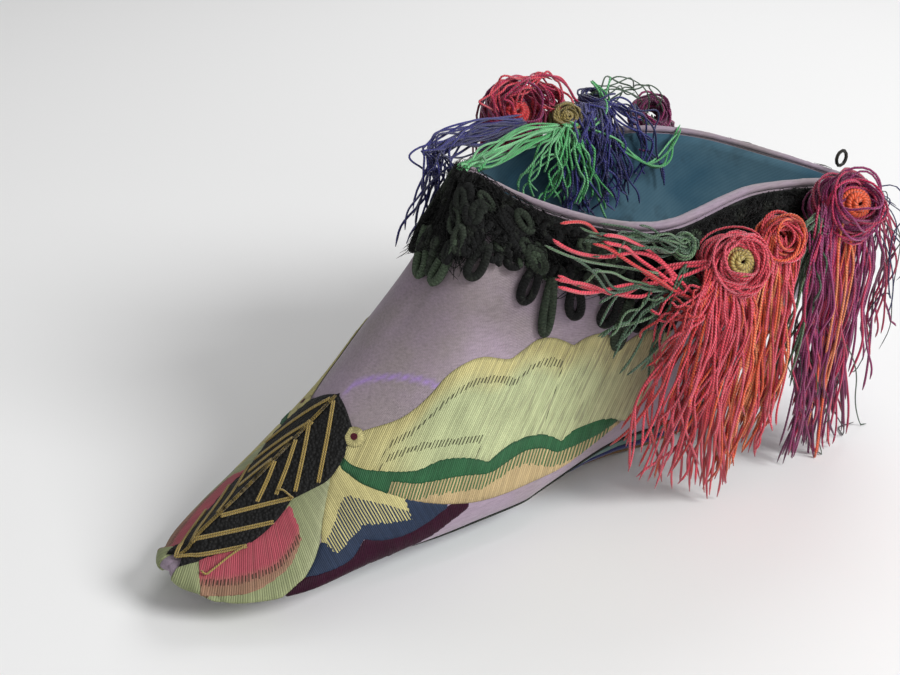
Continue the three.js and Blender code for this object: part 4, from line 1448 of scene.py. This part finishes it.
def hang_loop(cords, rng, along, side):
    """A pear-shaped loop of cord, its two legs crossing in the band."""
    angle = np.linspace(-0.5 * math.pi, 1.5 * math.pi, 41)
    top = LOOP_LOWEST - LOOP_HEIGHT
    down = top + LOOP_HEIGHT * (0.5 + 0.5 * np.sin(angle))
    pear = 0.5 + 0.5 * (down - top) / LOOP_HEIGHT
    across = along + LOOP_WIDTH / 2 * pear * np.cos(angle) + rng.normal(0, 0.06) * (down - top)
    off = 1.35 + 0.35 * np.cos(angle) * np.exp(-((down - top) / 2.5) ** 2)
    path = trim_point(across, np.clip(down, 0.2, 29), off, side)
    cords.add(path[None], LOOP_CORD * rng.uniform(0.92, 1.05), worn_black(0.0))


def make_backing(material):
    """A dense ground under the curled cords."""
    build = Builder()
    stations = np.linspace(0.02, PEAK_ROW + 0.72, 130)
    share = np.linspace(0, 1, 14)
    rng = np.random.default_rng(SEED + 1)
    for side in (1, -1):
        s, w = np.meshgrid(stations, share, indexing="ij")
        ragged = BACKING_FRAY * rng.standard_normal(len(stations))
        deep = (braid_depth(s) - BACKING_SHORT + ragged[:, None]) * w
        along = trim_along(s)
        bumpy = BACKING_BUMPS * rng.standard_normal(s.shape)
        front = trim_point(along, deep, BACKING_FRONT + bumpy, side)
        back = trim_point(along, deep, BACKING_BACK, side)
        near, far = build.add(front), build.add(back)
        build.grid(near, side > 0, 0)
        build.grid(far, side < 0, 0)
        build.strip(near[:, -1], far[:, -1], side > 0, 0)
        build.strip(far[:, 0], near[:, 0], side > 0, 0)
        build.strip(near[0], far[0], side < 0, 0)
        build.strip(far[-1], near[-1], side < 0, 0)
    obj, points = build.make("braid_backing", [material])
    put_colour(obj, "tint", np.tile(BRAID_BLACK, (len(points), 1)))
    put_uv(obj, points[:, [0, 2]])
    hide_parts("collar_braid")


def make_fuzz(material, rng):
    hairs = Cords(3)
    count = FUZZ_HAIRS
    full = trim_along(BRAID_END)
    for side in (1, -1):
        along = rng.uniform(0.5, full, count)
        down = rng.uniform(0.1, BRAID_DEPTH, count) * depth_share(along)
        ways = []
        for step in range(4):
            a = along + step * rng.normal(0, 0.8, count)
            d = down + step * rng.normal(-0.1, 0.7, count)
            off = 1.3 + 0.35 * step + rng.normal(0, 0.15, count)
            ways.append(trim_point(np.clip(a, 0.2, full), np.clip(d, -0.8, 20), off, side))
        hairs.add(curves(np.stack(ways, 1), 6), HAIR, BRAID_BLACK)
    hairs.make("braid_fuzz", material, "black_braid")


# The collar's satin binding, one welt round the edge

BINDING_GAP = 0.5
BINDING_SINK = 0.3
BINDING_WIDTH = 1.8
BINDING_HEIGHT = 1.25
BINDING_STEPS = 150
BINDING_SIDES = 12


def collar_line(steps):
    """Middle of the wall's edge, the way up from it, and the way out."""
    station = np.linspace(0, PEAK_ROW, steps + 1)
    one = np.ones_like(station)
    top = skin(station, one, -UPPER_WALL / 2)
    below = skin(station, 0.94 * one, -UPPER_WALL / 2)
    up = top - below
    up[[0, -1], 1] = 0
    up = unit(up)
    s = np.clip(station, NUDGE, PEAK_ROW - NUDGE)
    along = top_points(s + NUDGE) - top_points(s - NUDGE)
    along[0] = (0, 1, 0)
    along[-1] = (0, -1, 0)
    return top, up, unit(np.cross(up, along))


def make_binding(material):
    rng = np.random.default_rng(SEED + 2)
    top, up, out = collar_line(BINDING_STEPS)
    angle = np.linspace(0, 2 * math.pi, BINDING_SIDES, endpoint=False)
    wide = BINDING_WIDTH / 2 * np.sign(np.cos(angle)) * np.abs(np.cos(angle)) ** 0.7
    rise = BINDING_HEIGHT * (0.5 + 0.5 * np.sin(angle)) + BINDING_GAP - BINDING_SINK
    rings = []
    for side in (1, -1):
        bumps = 1 + 0.05 * np.convolve(rng.standard_normal(BINDING_STEPS + 9), np.ones(9) / 3, "valid")
        bumps = bumps[:, None, None]
        ring = (top[:, None] + out[:, None] * (wide[None, :, None] * bumps)
                + up[:, None] * (rise[None, :, None] * bumps))
        ring[[0, -1], :, 1] = 0
        ring[..., 1] *= side
        rings.append(ring if side > 0 else ring[::-1][1:-1])
    build = Builder()
    index = build.add(np.concatenate(rings))
    index = np.concatenate([index, index[:1]])
    index = np.concatenate([index, index[:, :1]], 1)
    build.grid(index, False, 0)
    obj, points = build.make("collar_welt", [material])
    put_number(obj, "streak", np.zeros(len(points)))
    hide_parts("collar_binding")


# Tassels. Each has a wound head, some round a core, and falls of twisted silk that pass
# through gates: lines between two places, each a photo pixel and how far it lies to the left.

CORAL = linear(210, 62, 80)
CORAL_PINK = linear(212, 78, 96)
CORAL_RED = linear(190, 46, 50)
ORANGE = linear(212, 84, 46)
ORANGE_PALE = linear(228, 132, 84)
MAGENTA = linear(132, 24, 88)
MAGENTA_DEEP = linear(96, 14, 70)
CRIMSON = linear(176, 24, 76)
CRIMSON_DEEP = linear(128, 14, 58)
NAVY = linear(40, 40, 118)
NAVY_DEEP = linear(26, 26, 84)
GREEN = linear(76, 168, 98)
GREEN_PALE = linear(112, 190, 128)
DARK_GREEN = linear(56, 84, 60)
DARK_GREEN_PALE = linear(86, 116, 82)
OCHRE = linear(150, 132, 74)
THREAD_BLACK = linear(34, 34, 36)

STRAND = 0.23
STRAND_STEPS = 34
HEAD_STEPS = 24
CORE_TURNS = 9


class Tassel(Cords):
    """Heads and falls of silk strands. clear keeps the falls out of the shoe."""

    def __init__(self, rng, clear=True, sides=5):
        super().__init__(sides)
        self.rng, self.clear = rng, clear

    def fall(self, count, colours, gates, short=0.85, loose=0.7, thick=STRAND, gap=0.5):
        """Strands through gates, a little out of order, cut at uneven lengths."""
        rng = self.rng
        share = (np.arange(count) + rng.uniform(0, 1, count)) / count
        ways = []
        for k, (ax, ay, a_out, bx, by, b_out) in enumerate(gates):
            a, b = on_side_plane((ax, ay), a_out), on_side_plane((bx, by), b_out)
            mixed = np.clip(share + rng.normal(0, 0.05 + 0.04 * k, count), -0.05, 1.05)
            points = a + (b - a) * mixed[:, None]
            ways.append(points + rng.normal(0, 0.35 + 0.15 * k, (count, 3)))
        paths = curves(np.stack(ways, 1), STRAND_STEPS)
        paths += wander(rng, count, STRAND_STEPS, loose)
        keep = np.clip(rng.normal((1 + short) / 2, (1 - short) / 2, count), 0.3, 1)
        turn = np.linspace(0, 1, STRAND_STEPS + 1)
        paths = np.array([np.stack([np.interp(turn * length, turn, path[:, i]) for i in range(3)], 1)
                          for path, length in zip(paths, keep)])
        if self.clear:
            paths = clear_of_shoe(paths, gap)
        pick = rng.integers(0, len(colours), count)
        tint = np.array(colours)[pick] * rng.uniform(0.8, 1.12, (count, 1))
        self.add(paths, thick * rng.uniform(0.85, 1.12, (count, 1)), tint)

    def head(self, x, y, out, axis, size, colours, core, loops):
        """Threads wound in a ring, round a core in the middle that is made only if it has a colour."""
        rng = self.rng
        centre = on_side_plane((x, y), out)
        axis = np.array(axis, float) / np.linalg.norm(axis)
        side = unit(np.cross(axis, (0.2, 0.3, 0.93)))
        other = np.cross(axis, side)
        angle = np.linspace(0, 2 * math.pi, HEAD_STEPS, endpoint=False)
        across, upward = np.cos(angle), np.sin(angle)
        for _ in range(loops):
            turn = rng.uniform(-1.9, 1.9)
            radius = size * (0.64 + 0.30 * math.cos(turn)) * rng.uniform(0.80, 1.10)
            lobes = 1 + rng.uniform(0.04, 0.16) * np.sin(rng.integers(2, 4) * angle + rng.uniform(0, 6))
            lift = size * 0.42 * math.sin(turn)
            slope = rng.normal(0, 0.34, 2)
            shift = rng.normal(0, 0.10 * size, 3)
            ring = across[:, None] * side + upward[:, None] * other
            ring *= (radius * lobes)[:, None]
            ring += axis * (lift + radius * (slope[0] * across + slope[1] * upward))[:, None]
            tint = np.array(colours[rng.integers(0, len(colours))]) * rng.uniform(0.75, 1.1)
            self.add((centre + shift + ring)[None], STRAND * rng.uniform(0.9, 1.15), tint, closed=True)
        if core is not None:
            self.core(centre + axis * 0.12 * size, axis, size * 0.52, core)

    def core(self, centre, axis, radius, tint):
        """A ball of cord wound round and round."""
        t = np.linspace(0.04, 0.96, CORE_TURNS * 14)
        polar = math.pi * t
        spin = 2 * math.pi * CORE_TURNS * t
        side = unit(np.cross(axis, (0.9, 0.1, 0.3)))
        other = np.cross(axis, side)
        path = centre + radius * (np.sin(polar)[:, None] * (np.cos(spin)[:, None] * side
                                  + np.sin(spin)[:, None] * other) + np.cos(polar)[:, None] * axis)
        self.add(path[None], radius * 0.22, tint)


OUTWARD = (0.35, 0.85, 0.45)


def make_near_tassels(material):
    rng = np.random.default_rng(SEED + 10)
    coral = Tassel(rng)
    coral.head(733, 263, 34, OUTWARD, 5.4, [CORAL, CORAL, CORAL_PINK], OCHRE * 1.3, 60)
    coral.fall(46, [CORAL, CORAL_PINK, CORAL_RED],
        [(712, 268, 35, 742, 284, 36), (690, 312, 35, 738, 330, 36),
         (654, 392, 31, 716, 410, 35), (612, 462, 26, 700, 496, 31)], short=0.8)
    coral.fall(34, [CORAL, CORAL_PINK, ORANGE],
        [(716, 280, 36, 750, 278, 36), (704, 330, 36, 752, 330, 37),
         (676, 410, 33, 734, 415, 36), (648, 480, 28, 728, 500, 33)], short=0.75)
    coral.fall(16, [CORAL, CORAL_RED],
        [(714, 276, 35, 730, 286, 36), (684, 300, 34, 700, 318, 35),
         (660, 300, 31, 676, 330, 33), (640, 330, 29, 655, 400, 30)], short=0.6, loose=1.2)
    coral.fall(5, [CORAL, CORAL_RED],
        [(716, 272, 35, 722, 282, 35), (690, 296, 33, 692, 300, 33),
         (640, 256, 29, 645, 266, 29), (600, 238, 28, 604, 244, 28),
         (548, 230, 26, 556, 234, 26)], short=0.8, loose=0.5, thick=0.34, gap=2.6)
    coral.fall(3, [ORANGE, CORAL],
        [(712, 262, 34, 712, 266, 34), (668, 272, 30, 672, 276, 30),
         (640, 284, 29, 640, 288, 29), (596, 290, 28, 596, 294, 28),
         (548, 276, 26, 550, 280, 26)], short=0.95, loose=0.4, thick=0.34, gap=2.6)
    coral.make("coral_tassel", material, "coral_silk", "tassel_coral")

    orange = Tassel(rng)
    orange.head(779, 240, 33, OUTWARD, 4.2, [CORAL_RED, CORAL, ORANGE], None, 50)
    orange.fall(52, [ORANGE, ORANGE_PALE, CORAL],
        [(762, 236, 34, 792, 240, 34), (752, 290, 35, 788, 290, 35),
         (730, 390, 34, 776, 380, 34), (704, 494, 31, 762, 430, 31)], short=0.8)
    orange.fall(14, [CORAL, CORAL_PINK],
        [(776, 236, 35, 800, 238, 34), (770, 300, 36, 796, 290, 35),
         (752, 400, 34, 780, 390, 34), (740, 470, 32, 772, 440, 32)], short=0.7)
    orange.make("orange_tassel", material, "orange_silk", "tassel_orange")

    magenta = Tassel(rng)
    magenta.head(848, 206, 33, OUTWARD, 6.0, [MAGENTA, CRIMSON, MAGENTA], ORANGE, 70)
    magenta.fall(80, [MAGENTA, MAGENTA, MAGENTA_DEEP, CRIMSON],
        [(822, 206, 34, 872, 208, 34), (812, 270, 35, 868, 270, 34),
         (800, 370, 34, 850, 350, 33), (776, 462, 32, 838, 440, 31)], short=0.8)
    magenta.fall(30, [MAGENTA, CRIMSON],
        [(812, 236, 35, 842, 236, 35), (806, 290, 36, 838, 290, 36),
         (796, 360, 35, 832, 360, 34), (800, 420, 33, 836, 420, 32)], short=0.7)
    magenta.fall(12, [ORANGE, ORANGE_PALE, CORAL],
        [(844, 210, 35, 856, 212, 35), (836, 260, 36, 850, 260, 35),
         (818, 360, 35, 838, 350, 34), (800, 470, 32, 826, 460, 32)], short=0.8)
    magenta.fall(14, [MAGENTA, CRIMSON],
        [(868, 196, 33, 884, 206, 32), (872, 250, 33, 894, 230, 31),
         (862, 330, 32, 892, 290, 30), (858, 400, 31, 886, 330, 29)], short=0.6, loose=1.3)
    magenta.make("magenta_tassel", material, "magenta_silk", "tassel_magenta")

    green = Tassel(rng)
    green.head(684, 246, 29.5, OUTWARD, 2.2, [DARK_GREEN, DARK_GREEN_PALE], None, 18)
    green.head(688, 292, 30.5, (0.7, 0.6, 0.2), 2.4, [DARK_GREEN, DARK_GREEN_PALE], None, 20)
    green.fall(14, [DARK_GREEN, DARK_GREEN_PALE],
        [(690, 240, 30, 690, 252, 30), (668, 238, 29, 668, 250, 29),
         (626, 232, 28, 630, 246, 28), (576, 222, 26, 600, 262, 28)], short=0.7, gap=2.6)
    green.fall(10, [DARK_GREEN, DARK_GREEN_PALE],
        [(690, 286, 31, 690, 298, 31), (650, 280, 30, 655, 300, 30),
         (605, 268, 29, 640, 320, 29), (556, 250, 27, 600, 340, 28)], short=0.7, gap=2.6)
    green.fall(8, [DARK_GREEN],
        [(684, 262, 31, 692, 266, 31), (664, 290, 31, 676, 300, 31),
         (640, 320, 30, 664, 340, 30), (575, 384, 27, 660, 380, 29)], short=0.8, gap=1.6)
    green.make("dark_green_tassel", material, "dark_green_silk", "tassel_dark_green")


INWARD = (0.3, 0.75, 0.6)


def make_far_tassels(material):
    rng = np.random.default_rng(SEED + 20)
    crimson = Tassel(rng, clear=False)
    crimson.head(512, 118, -29, INWARD, 6.2, [CRIMSON, MAGENTA, CRIMSON_DEEP], CORAL_RED, 64)
    crimson.head(545, 106, -27, (0.1, 0.5, 0.9), 4.2, [CRIMSON, CORAL], None, 24)
    crimson.fall(44, [CRIMSON, CRIMSON_DEEP, MAGENTA],
        [(492, 112, -30, 530, 112, -30), (482, 128, -33, 520, 140, -33),
         (470, 180, -33, 520, 190, -33), (455, 235, -33, 500, 250, -33)])
    crimson.fall(10, [CRIMSON, CORAL],
        [(490, 110, -27, 520, 118, -27), (484, 96, -26, 524, 86, -26),
         (520, 82, -26, 560, 76, -26), (548, 92, -26, 580, 100, -26)], loose=1.2)
    crimson.make("crimson_tassel", material, "crimson_silk", "tassel_crimson")

    green = Tassel(rng, clear=False)
    green.head(566, 120, -21, INWARD, 3.0, [OCHRE, OCHRE * 0.7], OCHRE, 26)
    green.fall(14, [GREEN, GREEN_PALE],
        [(556, 126, -19, 566, 130, -19), (520, 130, -17, 545, 142, -17),
         (480, 156, -9, 498, 160, -10), (462, 172, -4, 474, 174, -4),
         (436, 210, -9, 452, 206, -6), (420, 240, -14, 436, 236, -10)],
        short=0.75, loose=0.5)
    green.fall(26, [GREEN, GREEN_PALE],
        [(556, 128, -18, 580, 130, -18), (545, 150, -15, 592, 150, -15),
         (524, 180, -15, 604, 185, -15), (518, 208, -16, 606, 220, -16)],
        short=0.7, loose=0.6)
    green.fall(4, [GREEN, GREEN_PALE],
        [(570, 124, -18, 575, 128, -18), (612, 140, -17, 616, 146, -17),
         (650, 162, -18, 655, 166, -18), (680, 126, -20, 682, 130, -20)],
        short=0.95, loose=0.4)
    green.fall(4, [GREEN, GREEN_PALE],
        [(560, 124, -18, 566, 128, -18), (595, 122, -18, 598, 126, -18),
         (606, 100, -22, 608, 106, -22), (590, 82, -24, 600, 80, -24)],
        short=0.95, loose=0.4)
    green.make("bright_green_tassel", material, "bright_green_silk", "tassel_bright_green")

    blue = Tassel(rng, clear=False)
    blue.head(592, 106, -24, (0, 0.3, 0.95), 3.6, [NAVY, NAVY_DEEP], None, 40)
    blue.fall(70, [NAVY, NAVY, NAVY_DEEP],
        [(578, 104, -22, 610, 106, -22), (574, 130, -17, 618, 130, -18),
         (566, 180, -15.5, 622, 170, -17), (566, 222, -15.5, 632, 200, -18)],
        short=0.7, loose=1.0)
    blue.fall(12, [NAVY, NAVY_DEEP],
        [(600, 100, -22, 612, 104, -22), (612, 110, -20, 640, 112, -21),
         (640, 140, -18, 656, 130, -20), (640, 176, -18, 676, 190, -19)],
        short=0.7, loose=1.2)
    blue.fall(26, [NAVY, NAVY_DEEP],
        [(520, 118, -23, 530, 126, -23), (470, 124, -18, 486, 140, -17),
         (424, 150, -16, 450, 150, -14), (430, 186, -14, 448, 176, -10),
         (402, 250, -18, 424, 222, -14)],
        short=0.75, loose=1.0)
    blue.make("deep_blue_tassel", material, "deep_blue_silk", "tassel_deep_blue")

    far = Tassel(rng, clear=False)
    far.head(650, 116, -29, INWARD, 4.4, [MAGENTA_DEEP, MAGENTA], None, 44)
    far.fall(40, [MAGENTA_DEEP, MAGENTA],
        [(636, 116, -30, 664, 118, -30), (636, 130, -33, 672, 130, -33),
         (640, 180, -33, 690, 176, -32), (650, 230, -32, 700, 220, -31)])
    far.fall(12, [MAGENTA_DEEP, MAGENTA, DARK_GREEN],
        [(636, 112, -27, 650, 116, -27), (640, 130, -24, 668, 132, -25),
         (642, 150, -22, 662, 146, -24)], loose=0.8)
    far.make("far_magenta_tassel", material, "magenta_silk", "tassel_far_magenta")


def make_stray_threads(material):
    rng = np.random.default_rng(SEED + 30)
    stray = Tassel(rng, sides=4)
    stray.fall(14, [THREAD_BLACK, NAVY_DEEP],
        [(846, 196, 33, 860, 200, 33), (870, 190, 32, 890, 200, 32),
         (870, 300, 32, 896, 260, 30), (862, 380, 31, 886, 350, 29)],
        short=0.5, loose=2.2, thick=0.13)
    stray.fall(10, [THREAD_BLACK, DARK_GREEN],
        [(790, 320, 35, 830, 300, 35), (790, 400, 34, 850, 380, 33),
         (776, 470, 31, 860, 470, 28)], short=0.6, loose=1.6, thick=0.13)
    stray.clear = False
    stray.fall(8, [DARK_GREEN],
        [(590, 110, -25, 610, 110, -25), (584, 90, -26, 624, 88, -26),
         (620, 84, -27, 648, 92, -27), (640, 110, -27, 660, 124, -27)],
        short=0.8, loose=1.2, thick=0.16)
    stray.clear = True
    stray.fall(12, [DARK_GREEN, DARK_GREEN_PALE],
        [(804, 226, 34, 812, 232, 34), (818, 216, 34, 826, 236, 34),
         (806, 262, 35, 818, 270, 35), (790, 320, 35, 812, 300, 35),
         (762, 408, 33, 790, 380, 33)], short=0.7, loose=0.8)
    stray.make("stray_threads", material, "dark_green_silk")


# Gold cords couched in pairs on the black panel, and the piping above the sole

GOLD = linear(158, 134, 68)
GOLD_CORD = 0.185
GOLD_RISE = 0.62
GOLD_ROUTES = [
    [(338, 397), (311, 423), (295, 441), (274, 462), (246, 489), (219, 515), (191, 541), (175, 559)],
    [(335, 402), (328, 440), (319, 484)],
    [(311, 423), (304, 458), (296, 493)],
    [(297, 441), (288, 468), (277, 496)],
    [(276, 462), (268, 482), (258, 503)],
    [(221, 517), (256, 508), (293, 499)],
    [(191, 541), (234, 532), (275, 523)],
    [(176, 560), (212, 554), (248, 547)],
]
GOLD_LOOSE = [
    [(248, 547), (238, 553), (227, 561), (216, 570), (207, 576), (200, 573)],
    [(279, 491), (285, 492), (290, 496), (295, 500)],
]


def make_gold(material):
    gold = Cords(5)
    for route in GOLD_ROUTES:
        line = smooth_line(route, 60)
        places = np.array([place_of(p) for p in line])
        s, v = places[:, 0], np.minimum(places[:, 1], 0.995)
        base = skin(s, v, GOLD_RISE)
        across = np.cross(facing(s, v), unit(np.gradient(base, axis=0)))
        if route is GOLD_ROUTES[0]:
            base[:, 1] = GOLD_CORD * 1.1
            across *= 0
        for side in (1, -1):
            for way in (-1, 1):
                path = (base + across * way * GOLD_CORD * 1.05) * np.array([1, side, 1])
                gold.add(path[None], GOLD_CORD, GOLD)
    for route in GOLD_LOOSE:
        gold.add(on_shoe(smooth_line(route, 40), 1.0, 1)[None], GOLD_CORD, GOLD)
    gold.make("gold_cords", material, "black_silk")


PIPING_CORD = 0.3
PIPING_RISE = 0.25
PIPING_LEVEL = 0.012
PIPING_BLACK = linear(36, 40, 34)


def make_piping(material):
    """A thin dark cord where the upper meets the sole."""
    piping = Cords(5)
    station = np.linspace(0.02, SOLE_FRONT_ROW - 0.02, 200)
    path = skin(station, np.full(200, PIPING_LEVEL), PIPING_RISE)
    for side in (1, -1):
        piping.add((path * np.array([1, side, 1]))[None], PIPING_CORD, PIPING_BLACK)
    piping.make("sole_piping", material, "lining_cloth")


def paint_cad(name, material):
    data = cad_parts[name].data
    data.materials.clear()
    data.materials.append(material)


def paint_sole():
    paint_cad("sole_teal", cloth_shader("teal cloth", linear(50, 92, 86), linear(72, 108, 98)))
    paint_cad("sole_navy", cloth_shader("navy cloth", linear(24, 30, 84), linear(44, 46, 92)))
    paint_cad("outsole", leather_shader())
    paint_cad("insole", twill_shader())
    paint_cad("back_hook", wire_shader())


# Floor and light

FLOOR_REACH = 3.0
WORLD_LIGHT = 0.34
# Lamps: place and aim in metres, size and power
LAMPS = {
    "key": ((-0.24, 0.72, 0.56), (0.03, 0, 0.03), 0.42, 8.0),
    "fill": ((0.30, 0.80, 0.24), (0.0, 0, 0.02), 0.6, 1.3),
    "back": ((-0.45, -0.35, 0.6), (0.0, 0, 0.03), 0.5, 2.0),
}


def make_floor():
    mesh = bpy.data.meshes.new("floor")
    corners = [(x * FLOOR_REACH, y * FLOOR_REACH, 0) for x, y in ((-1, -1), (1, -1), (1, 1), (-1, 1))]
    mesh.from_pydata(corners, [], [(0, 1, 2, 3)])
    m = Shader("pale floor")
    m.set(Base_Color=(0.86, 0.86, 0.86), Roughness=0.9, Specular_IOR_Level=0.1)
    mesh.materials.append(m.material)
    floor = put("floor", mesh)


def make_light():
    world = bpy.data.worlds.new("soft studio")
    bpy.context.scene.world = world
    world.use_nodes = True
    sky = world.node_tree.nodes["Background"]
    sky.inputs["Color"].default_value = (1, 1, 1, 1)
    sky.inputs["Strength"].default_value = WORLD_LIGHT
    for name, (place, aim, size, power) in LAMPS.items():
        data = bpy.data.lights.new(name, "AREA")
        data.shape = "DISK"
        data.size = size
        data.energy = power
        lamp = put(name, data)
        lamp.location = place
        lamp.rotation_mode = "QUATERNION"
        lamp.rotation_quaternion = (Vector(aim) - Vector(place)).to_track_quat("-Z", "Y")
    bpy.context.scene.view_settings.view_transform = "Standard"


make_camera()
make_light()
make_floor()

satin = satin_shader()
make_upper(satin, twill_shader())
make_embroidery(stitch_shader("satin stitch"))
make_panel(knot_shader())
make_gold(cord_shader("gold cord", 0.42, 0.35))
make_binding(satin)
braid = braid_shader()
make_braid(braid)
silk = cord_shader("twisted silk", 0.55, 0.4, sheen=0.35)
make_near_tassels(silk)
make_far_tassels(silk)
make_stray_threads(silk)
make_piping(braid)
paint_sole()
